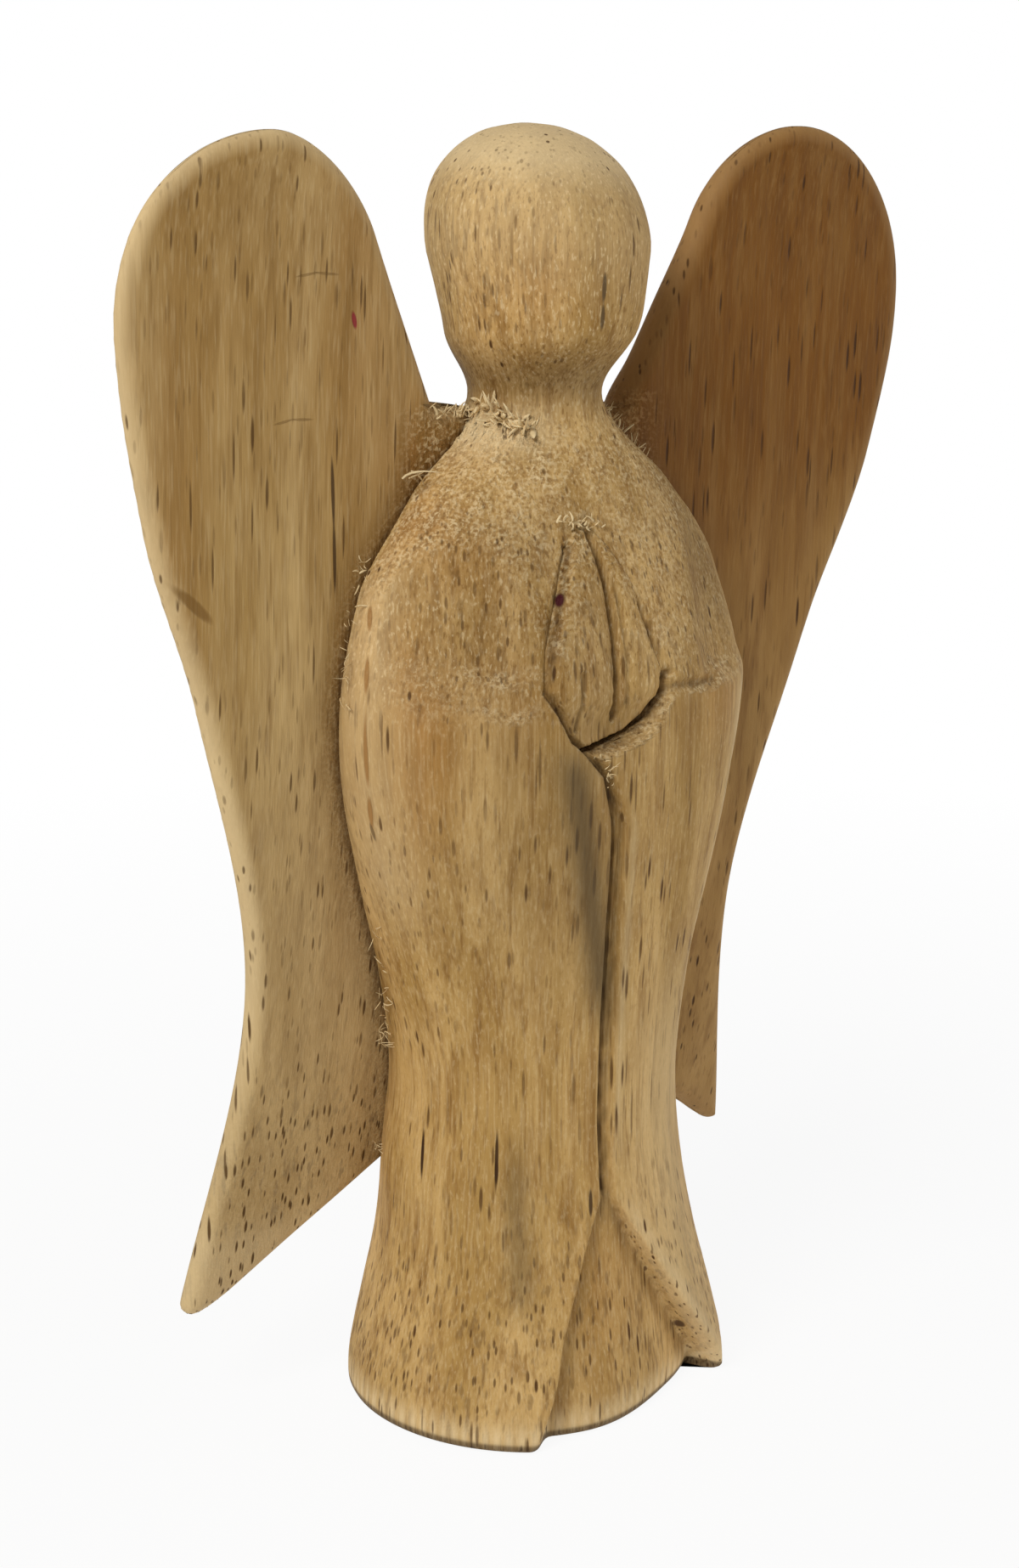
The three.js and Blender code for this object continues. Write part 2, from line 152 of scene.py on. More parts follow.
# What the knife leaves: the waves' height, width across the grain and length along it, and the roughness
WAVE_SET = ((0.4, 1), (1.5, 0.73), (2.7, 1.31), (4.1, 0.87), (5.3, 1.13))  # direction and stretch
BODY_WAVES = [(0.16, 9, 46), (0.05, 3.1, 17)]
WING_WAVES = [(0.22, 13, 60), (0.07, 5, 31)]
BACK_WAVES = 0.8
CALM_RECESS = 0.8
CALM_DROP = (0.2, 1)
CALM_HEM_Z = (0.5, 4)
ROUGH_SANDED = 0.008
ROUGH_TORN = 0.06
ROUGH_NECK = 0.16
ROUGH_HEM_Z = (0.5, 3)

# Tints of the body: what each adds to, its strength, what it is measured along, its middle and half
# width there, and the heights it comes in and goes out over
GROUND = (-2, -1)  # comes in below the foot, so it is there from the ground up
BODY_TINTS = [
    ("shade", 0.29, "turn", -32, 30, (44, 70), (104, 114)),  # painted shade down the front of the right forearm
    ("shade", 0.95, "round", 0, 1, GROUND, (0.85, 1.5)),  # painted contact shadow under the hem
    ("pale", 0.5, "turn", -82, 17, (56, 70), (98, 108)),  # painted highlight on the right sleeve, which faces the window lamp
    ("pale", 0.8, "turn", 56, 10, (32, 46), (84, 90)),  # painted rim light down the left side
    ("pale", 0.5, "left", 0.9, 0.5, (30, 40), (72, 78)),  # lip of the seam
    ("pale", 0.4, "left", 1.4, 1.2, GROUND, (25, 30)),  # painted highlight on the bevel of the split
    ("pale", 0.45, "panel", 30, 22, GROUND, (40, 62)),  # left half of the skirt
    ("grey", 0.6, "turn", -41.5, 5, (14, 20), (30, 40)),  # band in the lower robe
    ("grey", 1, "stain", 0, 2.2, (46, 56), (80, 86)),  # stain beside the seam
    ("fleck", 0.6, "turn", -78, 42, (122, 128), (144, 149)),  # pores of the right cheek
    ("fleck", 0.65, "round", 0, 1, GROUND, (14, 40)),  # pores of the flaring foot
]
STAIN_X = -3.6
STAIN_Z = 55
STAIN_LEAN = 0.19

# Shade of the cuts, the chin and the left shoulder
SEAM_SHADE = 0.45
SEAM_Z = (24, 30), (80, 84)
RECESS_SHADE = 0.6
RECESS_DROP = (0.6, 3.4)
RECESS_Z = (79, 82)
SPLIT_SHADE = 0.75
SPLIT_LINE = (0.45, 0.4)  # distance from the right edge, and half width
SPLIT_FADE_Z = (25, 30)
SKIRT_SHADE = 0.35
SKIRT_SHADE_WIDTH = 4
BROKEN_PATCH = (1.3, 4.1)
BROKEN_LEVEL = 0.7
BROKEN_LEAST = 0.15
CHIN_SHADE = 0.58
CHIN_Z = (123, 3.5)
SHOULDER_SHADE = 0.4
SHOULDER_TURN = (48, 22)
SHOULDER_Z = (102, 9)

# Cream of the hem and torn grain, cream and painted light on the head, grey of the left tear, pores of
# the chest, and specks
HEM_PALE_Z = 1.5
HEM_STRIPES = (0.34, 0.765)  # share between the stripes, and what a stripe adds
STRIPE_TURNS = (1.7, 2.5, 0.11)  # waves round the hem, how far they stray, and how slowly
HEAD_PALE = (0.3, 0.9)  # on the sides, and the painted light added where the head faces up
HEAD_PALE_Z = (128, 140)
HEAD_TOP_FACING = (0.3, 0.9)
NECK_PALE = 0.9
SHOULDER_PALE = 0.15
SHOULDER_PALE_Z = 104
LEDGE_PALE = 0.3
LEDGE_PALE_Z = 96
LEFT_TEAR_GREY = 0.6
CHEST_FLECKS = 0.52
CHEST_FLECK_Z = (87, 92), (106, 112)
CHEST_FLECK_X = (18, 24)
ROBE_SPECKS = 0.35
SPECK_Z = (86, 92)
# Tints at the rings of the flat base and at the crown's point; the base's shade is painted shade, and
# the crown's cream joins the painted light on the head's top
BASE_TINTS = {"shade": 0.3, "torn": 0.3, "fleck": 0.5, "speck": ROBE_SPECKS}
CROWN_TINTS = {"pale": 0.5, "speck": 1.0}

# Wings: the outer edge, the inner edge, the bend of the board, and its thickness
RIGHT_TIP = (13.6, 4, 1.9)  # height, width and rounding
LEFT_TIP = (18, 1.6, 0.7)
WING_TIP_X = 42.6
WING_FLANK = [(53, 36.8), (90, 45.2), (110, 51.8)]
WING_WIDEST = (130, 54.8)
WING_TOP = (150, 37)
WING_NECK = (139, 21.9)
WING_ROOT_X = 10
RIGHT_FOOT = [(29.2, WING_ROOT_X)]  # bends of the foot: height and x
LEFT_FOOT = [(22.6, 35), (34.5, WING_ROOT_X)]
WING_CUT_X = 13.4
WEB_STEP = 0.6
WEB_FOOT = 4  # how far down the web's edge and its slope reach
WEB_SLOPE = 8
WEB_SHARE = 0.1
RIGHT_WEB = (119.6, 6.5)
LEFT_WEB = (117.6, 9)
WING_SWEEP = 0.1
WING_TIP_BACK = 14
WING_BEND = [(53, 6.4), (90, 1.2)]
WING_TOP_BACK = -3
WING_ROOT_THICKNESS = 5
WING_EDGE_THICKNESS = 2.4
WING_RIM = 2
RIGHT_FLECKS = 1
LEFT_FLECKS = 0.08

# Wing tints: by distance from the body, by height at the tail and the rim, and at the torn web
ROOT_SHADES = [(0.75, 0, 0.9), (0.3, 1.5, 2.2)]  # strength, distance and half width
ABOVE_BODY_Z = 120
CLEAR_OF_BODY = 9
TAIL_Z = (30, 52)
TAIL_GREY = 0.06
TAIL_TORN = 0.15
ROOT_TORN = 0.5
ROOT_TORN_WIDTH = 2
WEB_TORN = 0.8
WEB_TORN_WIDTH = 4
WEB_TORN_Z = (102, 112)
# painted highlight along the boards' round rim, growing up the board
RIM_HIGHLIGHT = 0.3
RIM_HIGHLIGHT_Z = (30, 80)
WING_PALE = [(0.4, (60, 105)), (1.2, (15, 28))]  # strength, and the heights it fades over
WING_END_SHARE = 0.2

# Where the hand that cut each wing went outside or inside its pattern: height and way outward
RIGHT_SHIFTS = (
    [(118, 0), (124, 0), (136, 0.5), (143, 0.8), (148, 0.5), (150, 0)],
    [(0, 0), (150, 0)],
)
LEFT_SHIFTS = (
    [(20, 0), (60, -0.2), (86, -0.3), (100, 0.6), (111, 1.2), (122, 1.4), (133, 0.9), (150, 0)],
    [(116, 0), (119, 0), (124, 1), (130, 1.5), (138, 2), (143, 1.4), (147, 0.6), (150, 0)],
)

# Grain: width across it and length along it, and how much finer it breaks up
GRAIN_NOISE = [
    ("bands", 6, 55, 3),
    ("fine_bands", 1.5, 30, 3),
    ("hairlines", 0.5, 26, 2),
    ("mottle", 2.4, 9, 3),
    ("fibres", 0.28, 7, 2),
    ("grit", 0.5, 0.45, 2),
    ("crowding", 5, 22, 2),
    ("dashes", 0.75, 4, 2),
    ("speckle", 0.32, 0.85, 2),
]

# Pores: their spacing across and along the grain, with nothing finer
PORES = [("short_pores", 1.15, 12, 0), ("fine_pores", 0.85, 7, 0), ("long_pores", 1.1, 27, 0)]

# Masks: what each is taken from, the range it takes, and the shares it turns that range into
MASKS = [
    ("short_pores", "short_pores", 0.23, 0.1035, 0, 1),
    ("fine_pores", "fine_pores", 0.23, 0.1035, 0, 1),
    ("long_pores", "long_pores", 0.17, 0.0765, 0, 1),
    ("light_bands", "bands", 0.32, 0.68, 0, 1),
    ("honey_bands", "fine_bands", 0.3, 0.6, 0.8, 1),
    ("streaks", "fine_bands", 0.52, 0.7, 0, 0.52),
    ("dark_hairlines", "hairlines", 0.54, 0.7, 0, 0.42),
    ("dark_mottle", "mottle", 0.58, 0.34, 0, 0.28),
    ("pale_fibres", "fibres", 0.45, 0.75, 0, 0.22),
    ("tufts", "grit", 0.5, 0.62, 0, 0.75),
    ("pits", "grit", 0.46, 0.34, 0, 0.85),
    ("pale_specks", "speckle", 0.56, 0.7, 0, 0.5),
    ("dark_specks", "speckle", 0.43, 0.3, 0, 0.6),
    ("crowd", "crowding", 0.4, 0.66, 0.1, 1),
    ("fine_share", "fleck", 0, 1, 0.3, 1),
    ("long_share", "speck", 0, 1, 0.8, 0.15),
    ("dashes", "dashes", 0.54, 0.68, 0, 0.6),
    # how much of the painted shade the fibres let through
    ("shade_grain", "fibres", 0.2, 0.7, 1, 0.75),
    ("roughness", "fibres", 0.3, 0.7, 0.6, 0.74),
]

# Sums: each takes two masks, or a mask and a number
SUMS = [
    ("crowd", "MAXIMUM", "crowd", "fleck"),
    ("short_pores", "MULTIPLY", "short_pores", "crowd"),
    ("fine_pores", "MULTIPLY", "fine_pores", "fine_share"),
    ("long_pores", "MULTIPLY", "long_pores", "long_share"),
    ("pores", "MAXIMUM", "short_pores", "fine_pores"),
    ("pores", "MAXIMUM", "pores", "long_pores"),
    ("pore_tint", "MULTIPLY", "pores", 0.95),
    ("honey", "MULTIPLY", "warm", "honey_bands"),
    ("tufts", "MULTIPLY", "tufts", "torn"),
    ("pits", "MULTIPLY", "pits", "torn"),
    ("dashes", "MULTIPLY", "dashes", "fleck"),
    ("pale_specks", "MULTIPLY", "pale_specks", "speck"),
    ("dark_specks", "MULTIPLY", "dark_specks", "speck"),
    # cream grain and painted highlights alike, from the pale attribute
    ("cream", "MULTIPLY", "pale", 0.66),
    ("stain", "MULTIPLY", "grey", 0.8),
    # painted shade: the shade attribute, broken up by the fibres
    ("painted_shade", "MULTIPLY", "shade", "shade_grain"),
    ("relief", "MULTIPLY", "fibres", 0.35),
    ("band_relief", "MULTIPLY", "fine_bands", 0.5),
    ("relief", "ADD", "relief", "band_relief"),
    ("torn_relief", "MULTIPLY", "grit", "torn"),
    ("torn_relief", "MULTIPLY", "torn_relief", 3),
    ("relief", "ADD", "relief", "torn_relief"),
    ("pore_relief", "MULTIPLY", "pores", 0.7),
    ("relief", "SUBTRACT", "relief", "pore_relief"),
]

# Tints, laid over the middle colour one after another: the mask and the colour
TINTS = [
    ("light_bands", "light"), ("honey", "honey"), ("streaks", "streak"), ("dark_hairlines", "streak"),
    ("dark_mottle", "streak"), ("pale_fibres", "cream"), ("pale_specks", "cream"),
    ("dark_specks", "streak"), ("dashes", "pore"), ("tufts", "cream"), ("pits", "streak"),
    ("cream", "cream"), ("pore_tint", "pore"), ("stain", "stain"), ("painted_shade", "painted_shade"),
]
BUMP_HEIGHT = 0.22
BUMP_STRENGTH = 0.7
WOOD_SPECULAR = 0.15
MARK_CORE = 0.55
MARK_DEPTH = 0.9
MARK_STRETCH = 0.72

# Colours of the three woods and of the loose fibres, in the order of these names; the last is the dark
# of the painted shade
TONES = ("light", "middle", "honey", "streak", "pore", "cream", "stain", "painted_shade")
BODY_PALETTE = ("#d0aa6c", "#ae894c", "#a8702c", "#835a22", "#4f3010", "#ead0a0", "#5f4e33", "#3a2510")
RIGHT_PALETTE = ("#cbaa70", "#ac894e", "#96662c", "#8a6630", "#523512", "#e6cb9a", "#86744f", "#42290e")
LEFT_PALETTE = ("#b8935a", "#a07c45", "#784b12", "#6d461a", "#3f2408", "#b08a58", "#86744f", "#3a240e")
FIBRE_PALETTE = ("#e8d0a0", "#d2b27a", "#b98a48", "#b08a4c", "#9a7038", "#ecd8ac", "#8a7750", "#5a4020")

# Bamboo: its colours, the length and width of its strands, and how far they stand out
STRAW_LIGHT = "#e2cd9c"
STRAW_DARK = "#b5935a"
STRAND_LENGTH = 6
STRAND_WIDTH = 0.25
STRAND_RELIEF = 0.1
STRAND_STRENGTH = 0.5
BAMBOO_ROUGHNESS = 0.6

# Light: each lamp's place, width and watts, the walls, and the table that the figure stands on
LAMPS = [
    ("window_lamp", (-620, -260, 640), 420, 4.9),
    ("side_lamp", (560, -420, 90), 300, 1.2),
]
LAMP_AIM_Z = 80
WALL_LIGHT = 0.22
WHITE = (1, 1, 1, 1)
PAPER = "#f4f3f0"
BACKGROUND_RAYS = ("Is Camera Ray", "Is Glossy Ray", "Is Transmission Ray")
TABLE_NEAR = 80
TABLE_FAR = 300
TABLE_GLOW = 0.54
FLOOR_WHITE = 0.92
FLOOR_SIDE = 6000
FLOOR_DROP = 0.05

# Patches of honey brown: x, z, their half widths and strength
WARM_PATCHES = [
    (-23, 86, 3, 14, 0.6),
    (-14, 90, 5, 5, 0.25),
    (-16, 104, 4, 5, 0.2),
    (16, 86, 6, 5, 0.4),
    (-20, 110, 4, 6, 0.5),
    (-3, 17, 5, 8, 0.3),
    (3, 136, 4, 6, 0.2),
    (-7, 134, 4, 6, 0.45),
]
RIGHT_WING_WARM = [(-50, 100, 5, 26, 0.45), (-15, 114, 5, 7, 0.7)]
RIGHT_ROOT_WARM = 0.25
RIGHT_ROOT_X = (-24, 6)
RIGHT_ROOT_Z = (30, 60)
RIGHT_TOP_WARM = 0.25
RIGHT_TOP_Z = (100, 132)
LEFT_WARM_Z = (66, 118)
LEFT_RIM_TAN = 0.55
LEFT_RIM_X = (51, 5)
LEFT_RIM_Z = (95, 115)

# Loose fibres: the line they stand on, how many, their length and half width, and the way they point
FIBRE_GROUPS = [
    (
        [(-7.4, 1.5, 119.6), (-7.6, -2.6, 119), (-7, -4.2, 118.2), (-5.7, -6.2, 117.4)],
        90, 1.9, 0.36, (-0.5, -0.7, 0.35),
    ),
    ([(-14, 0.6, 118.8), (-8, 1.5, 119)], 40, 1.2, 0.16, (0, -0.4, 0.8)),
    ([(7.4, -1.5, 118.6), (10.6, -1.5, 115.2), (14.4, -1.4, 111.5)], 60, 1.8, 0.12, (0.2, -0.5, 0.6)),
    ([(-24.6, -0.8, 105), (-26.6, -0.6, 97), (-27.2, -0.4, 88)], 30, 1.2, 0.09, (-0.4, -0.8, 0.1)),
    ([(-22, 1.2, 62), (-19.3, 3.8, 52), (-18, 6.4, 44)], 45, 1.6, 0.09, (-0.3, -0.8, 0)),
    ([(-17.3, 8.6, 30.6), (-17, 9.4, 30)], 8, 2.2, 0.12, (0.2, -0.9, 0.3)),
    ([(-5.4, -18, 82.4), (-2.8, -17.6, 78)], 18, 1.2, 0.1, (0, -0.6, 0.5)),
    ([(-6.4, -12.4, 108), (-1, -12.3, 107.4)], 26, 0.9, 0.16, (0, -0.5, 0.4)),
    ([(-19.4, -1.2, 112.2), (-18.6, -1.2, 113.6)], 3, 2.6, 0.2, (0.6, -0.1, 0.8)),
]
FIBRE_RINGS = 7
FIBRE_SIDES = 4
FIBRE_SPREAD = 0.35
FIBRE_STRAY = 0.45
FIBRE_LENGTHS = (0.5, 1.3)  # least and most, as shares of the group's own
FIBRE_WIDTHS = (0.6, 1.4)
FIBRE_CURL = 0.9
FIBRE_TAPER = (0.15, 0.84)  # where on a half wave it starts, and how much of the wave it takes
FIBRE_FLATNESS = 0.45
FIBRE_PALE = (0.6, 1)

# Marks in the wood: the line each follows, its half width, colour and strength
CRACK = "#3a2410"
GROOVE = "#94642c"
SCRATCH = "#75562a"
HEAD_CRACK = "#4a3a26"
DARK_RED = "#3d0f12"
KNOT = "#4a2e16"
BROWN_STAIN = "#7d5a28"
RED_STAIN = "#8e2030"
BODY_MARKS = [
    ([(-17.8, -1.7, 41), (-19.3, -2.9, 25.5)], 0.28, CRACK, 1),
    ([(-13.7, -10.4, 41), (-14.6, -11.1, 27.5)], 0.24, CRACK, 0.95),
    ([(-4.5, -16.2, 30.5), (-4.9, -16.8, 26.5)], 0.3, CRACK, 0.9),
    (
        [
            (-24, -1.3, 100.5), (-25.4, -2.5, 95.2), (-26.4, -3.4, 87.8), (-26.2, -3.2, 80),
            (-25.1, -2.6, 73.4),
        ],
        0.45, GROOVE, 0.7,
    ),
    ([(-25.5, -2.5, 75.1), (-25, -2.8, 72.9)], 0.3, CRACK, 0.6),
    ([(-0.5, -12.5, 134.8), (-0.5, -12.2, 131.8), (-0.4, -11.7, 128.7)], 0.35, HEAD_CRACK, 0.8),
    ([(-8, -14.2, 100.6), (-8.1, -14.4, 99)], 0.7, DARK_RED, 1),
    ([(-8.9, -16.1, 87.8), (-8.4, -16.1, 87.1)], 0.4, CRACK, 0.9),
    ([(10.6, -15.1, 8.5), (10.8, -15.3, 7)], 0.9, KNOT, 0.9),
]
RIGHT_WING_MARKS = [
    ([(-48.9, -1.2, 104), (-44.3, -0.8, 99.8)], 0.75, BROWN_STAIN, 0.75),
    ([(-25.7, -0.9, 131), (-25.3, -0.8, 129.4)], 0.4, RED_STAIN, 0.9),
    ([(-33.2, -1.7, 135.1), (-30.8, -1.6, 135.4), (-27.9, -1.4, 135.1)], 0.16, SCRATCH, 0.5),
    ([(-35.8, -1.1, 119.9), (-33.5, -0.9, 120.2), (-30.8, -0.7, 120)], 0.16, SCRATCH, 0.5),
    ([(-28.2, -0.3, 115.4), (-27.9, 0.1, 108.2), (-27.7, 0.3, 101)], 0.28, CRACK, 0.85),
]

# Fineness of the grids
BODY_COLUMNS = (188, 8, 44, 8, 110)  # round the back and across the walls and the floor of the front
EDGE_SINES = (-0.6, 0.8)
EDGE_FADE_Z = (108.5, 113)
STEADY_TURNS = (-0.62, -0.58, 0.3, 0.36)  # the columns' angles above the hands, in radians
RING_SPACING = [
    (0, 0.3), (4, 0.55), (9, 0.95), (74, 0.95), (80, 0.45), (82, 0.24), (86, 0.26),
    (92, 0.36), (108, 0.42), (114, 0.5), (126, 0.7), (HEAD_Z, 0.6),
]
RING_SAMPLES = 4000
DOME_ROWS = 34
BASE_RINGS = 7
BASE_INNER = 0.1
WING_COLUMNS = 74
WING_DOME_Z = 141
WING_ROWS = (8, 190, 44)  # at the tip, up the board and over the top
RIM_ROWS = (20, 900, 260)
WING_TOP_GAP = 0.001

# The inputs and the output of a Mix node that mixes colours
MIX_A, MIX_B, MIX_OUT = 6, 7, 2


def linear(hex_colour):
    """An sRGB hex colour as linear red, green, blue and alpha."""
    srgb = np.array([int(hex_colour[i : i + 2], 16) for i in (1, 3, 5)]) / 255
    value = np.where(srgb <= 0.04045, srgb / 12.92, ((srgb + 0.055) / 1.055) ** 2.4)
    return (*value.tolist(), 1.0)


def ease(low, high, value):
    """0 below low, 1 above high, and an S curve between them."""
    t = np.clip((value - low) / (high - low), 0, 1)
    return t * t * (3 - 2 * t)


def hump(value, centre, width):
    """A bell curve: 1 at the centre, falling away over the width."""
    return np.exp(-(((value - centre) / width) ** 2))


def within(value, rise, fall):
    """1 between two ranges: it comes in over the rise and goes out over the fall."""
    return ease(*rise, value) * (1 - ease(*fall, value))


def smooth_max(a, b, blend):
    """The larger of two surfaces, with the crease between them rounded over the blend."""
    gap = np.clip(0.5 + 0.5 * (a - b) / blend, 0, 1)
    return b + (a - b) * gap + blend * gap * (1 - gap)


def smooth_curve(stations):
    """A value over height: cubics through the stations that never swing past them."""
    z, v = np.array(stations, float).T
    rise = np.diff(v) / np.diff(z)
    before, after = rise[:-1], rise[1:]
    alike = before * after > 0
    total = np.where(alike, before + after, 1)
    slope = np.concatenate([rise[:1], np.where(alike, 2 * before * after / total, 0), rise[-1:]])

    def at(height):
        i = np.clip(np.searchsorted(z, height, side="right") - 1, 0, len(z) - 2)
        span = z[i + 1] - z[i]
        t = np.clip((height - z[i]) / span, 0, 1)
        s = 1 - t
        ends = v[i] * (1 + 2 * t) * s * s + v[i + 1] * t * t * (3 - 2 * t)
        return ends + span * t * s * (slope[i] * s - slope[i + 1] * t)

    return at


def straight_curve(stations):
    """A value over height, straight from station to station."""
    z, v = np.array(stations, float).T
    return lambda height: np.interp(height, z, v)


def line_distance(x, z, line):
    """Distance from every point to the nearest stretch of a bent line over x and z."""
    nearest = np.full(np.broadcast(x, z).shape, np.inf)
    for (x0, z0), (x1, z1) in zip(line[:-1], line[1:]):
        along_x, along_z = x1 - x0, z1 - z0
        t = ((x - x0) * along_x + (z - z0) * along_z) / (along_x**2 + along_z**2)
        t = np.clip(t, 0, 1)
        nearest = np.minimum(nearest, np.hypot(x - x0 - t * along_x, z - z0 - t * along_z))
    return nearest


def unevenness(x, y, z, width, length):
    """Slow sine waves across the grain and slower ones along it, five ways added up."""
    total = np.zeros(np.broadcast(x, y, z).shape)
    for turn, stretch in WAVE_SET:
        across = (x * np.cos(turn) + y * np.sin(turn)) / (width * stretch)
        total = total + np.sin(2 * np.pi * (across + z / (length * stretch)) + 7 * turn)
    return total / len(WAVE_SET)


def knife_waves(x, y, z, waves):
    """The waviness a knife leaves: broad waves with narrow ones on them."""
    return sum(height * unevenness(x, y, z, width, length) for height, width, length in waves)


def warm_patches(x, z, patches):
    """Soft patches over x and z, added up."""
    return sum(
        strength * hump(x, middle_x, wide_x) * hump(z, middle_z, wide_z)
        for middle_x, middle_z, wide_x, wide_z, strength in patches
    )


def grid_mesh(name, points, faces, material, attributes):
    """A smooth mesh piece from points in millimetres, with a number at each point per attribute."""
    mesh = bpy.data.meshes.new(name)
    mesh.from_pydata(points * MM, [], faces)
    mesh.polygons.foreach_set("use_smooth", np.ones(len(mesh.polygons), bool))
    for key, values in attributes.items():
        layer = mesh.attributes.new(key, "FLOAT", "POINT")
        layer.data.foreach_set("value", np.clip(values, 0, 1).astype(np.float32).ravel())
    mesh.materials.append(material)
    mesh.update()
    piece = bpy.data.objects.new(name, mesh)
    bpy.context.scene.collection.objects.link(piece)
    return piece


def ring_quads(rows, columns):
    """Quads between closed rings, one ring after another."""
    i, j = np.meshgrid(np.arange(rows - 1) * columns, np.arange(columns), indexing="ij")
    k = (j + 1) % columns
    return np.stack([i + j, i + k, i + columns + k, i + columns + j], -1).reshape(-1, 4)


def tube_faces(rows, columns):
    """Quads between closed rings, and a fan of triangles from a pole at each end."""
    ring = np.arange(columns)
    after = (ring + 1) % columns
    first, last, top = rows * columns, rows * columns + 1, (rows - 1) * columns
    start = np.stack([np.full(columns, first), after, ring], -1)
    end = np.stack([np.full(columns, last), top + ring, top + after], -1)
    return ring_quads(rows, columns).tolist() + start.tolist() + end.tolist()


def normals_of(points):
    """Unit normals of a grid of points whose columns close on themselves."""
    along = np.gradient(points, axis=0)
    around = np.roll(points, -1, axis=1) - np.roll(points, 1, axis=1)
    normal = np.cross(around, along)
    return normal / np.maximum(np.linalg.norm(normal, axis=-1, keepdims=True), 1e-9)


half_width, front_reach, back_reach = (
    smooth_curve([(station[0], station[k]) for station in BODY_STATIONS]) for k in (1, 2, 3)
)
right_edge = straight_curve(RIGHT_EDGE)
left_edge = straight_curve(LEFT_EDGE)
hands_front = smooth_curve(HANDS_FRONT)
head_lean = smooth_curve(HEAD_LEAN)


def crown_round(z):
    """How much of the head's width is left above its widest ring: a full quarter round."""
    t = np.clip((z - HEAD_Z) / (CROWN_Z - HEAD_Z), 0, 1)
    return np.sqrt(np.maximum(1 - t**CROWN_POWER, 0))


def body_levels():
    """Heights of the body's rings: close at the hem and the hands, and by even turns over the dome."""
    spacing = straight_curve(RING_SPACING)
    z = np.linspace(0, HEAD_Z, RING_SAMPLES)
    count = np.concatenate([[0], np.cumsum(np.diff(z) / spacing(z[1:]))])
    levels = np.interp(np.arange(int(count[-1]) + 1), count, z)
    dome = HEAD_Z + (CROWN_Z - HEAD_Z) * np.sin(np.linspace(0, np.pi / 2, DOME_ROWS + 1)[1:-1])
    return np.concatenate([levels, dome])


def body_turns(z):
    """Angles of the body's columns at each height, which keep to the two edges up the front."""
    wide = half_width(z) * crown_round(z)
    knots = [x for ends in edge_walls(z) for x in ends]
    angles = [np.arcsin(np.clip(x / np.maximum(wide, 1e-6), *EDGE_SINES)) for x in knots]
    above = ease(*EDGE_FADE_Z, z)
    angles = [angle + (steady - angle) * above for angle, steady in zip(angles, STEADY_TURNS)]
    angles = [np.full_like(z, -np.pi), *angles, np.full_like(z, np.pi)]
    spans = []
    for start, end, count in zip(angles[:-1], angles[1:], BODY_COLUMNS):
        share = np.arange(count) / count
        spans.append(start[:, None] + (end - start)[:, None] * share)
    return np.concatenate(spans, axis=1)


def left_wall(z):
    """Width of the left edge's wall: a bevel that widens down to the hem, and a plain wall above."""
    return BEVEL_TOP + (BEVEL_HEM - BEVEL_TOP) * np.clip(1 - z / SPLIT_TOP_Z, 0, 1)


def right_wall(z):
    """Width of the right edge's wall: thin and crisp, and rounded over at the hem's corner."""
    return EDGE_WALL + (CORNER_ROUND - EDGE_WALL) * np.clip(1 - z / CORNER_Z, 0, 1) ** 2


def edge_walls(z):
    """Where the wall of the right edge and that of the left edge start and end in x."""
    edges = (right_edge(z), right_wall(z)), (left_edge(z), left_wall(z))
    return [(edge - wall / 2, edge + wall / 2) for edge, wall in edges]


def ledge(z, steps):
    """How much of the chest's flat cut is open at a height: one soft tread after another."""
    return sum(ease(low, high, z) for low, high in steps) / len(steps)


def chest_opening(x, z):
    """How much of the chest's flat cut is open: ledges by hand, fading at the sleeve and the elbow."""
    by_hand = z + LEDGE_WAVE * np.sin(2 * np.pi * x / LEDGE_WAVE_LENGTH)
    right = ledge(by_hand, RIGHT_LEDGES)
    right = right + (ledge(z, SLEEVE_LEDGE) - right) * (1 - ease(*SLEEVE_X, x))
    to_left = ease(*CHEST_MIDDLE_X, x)
    share = right * (1 - to_left) + ledge(by_hand, LEFT_LEDGES) * to_left
    return share * (1 - ease(*FACET_END_Z, z)) * (1 - ELBOW_SHARE * ease(*ELBOW_X, x))


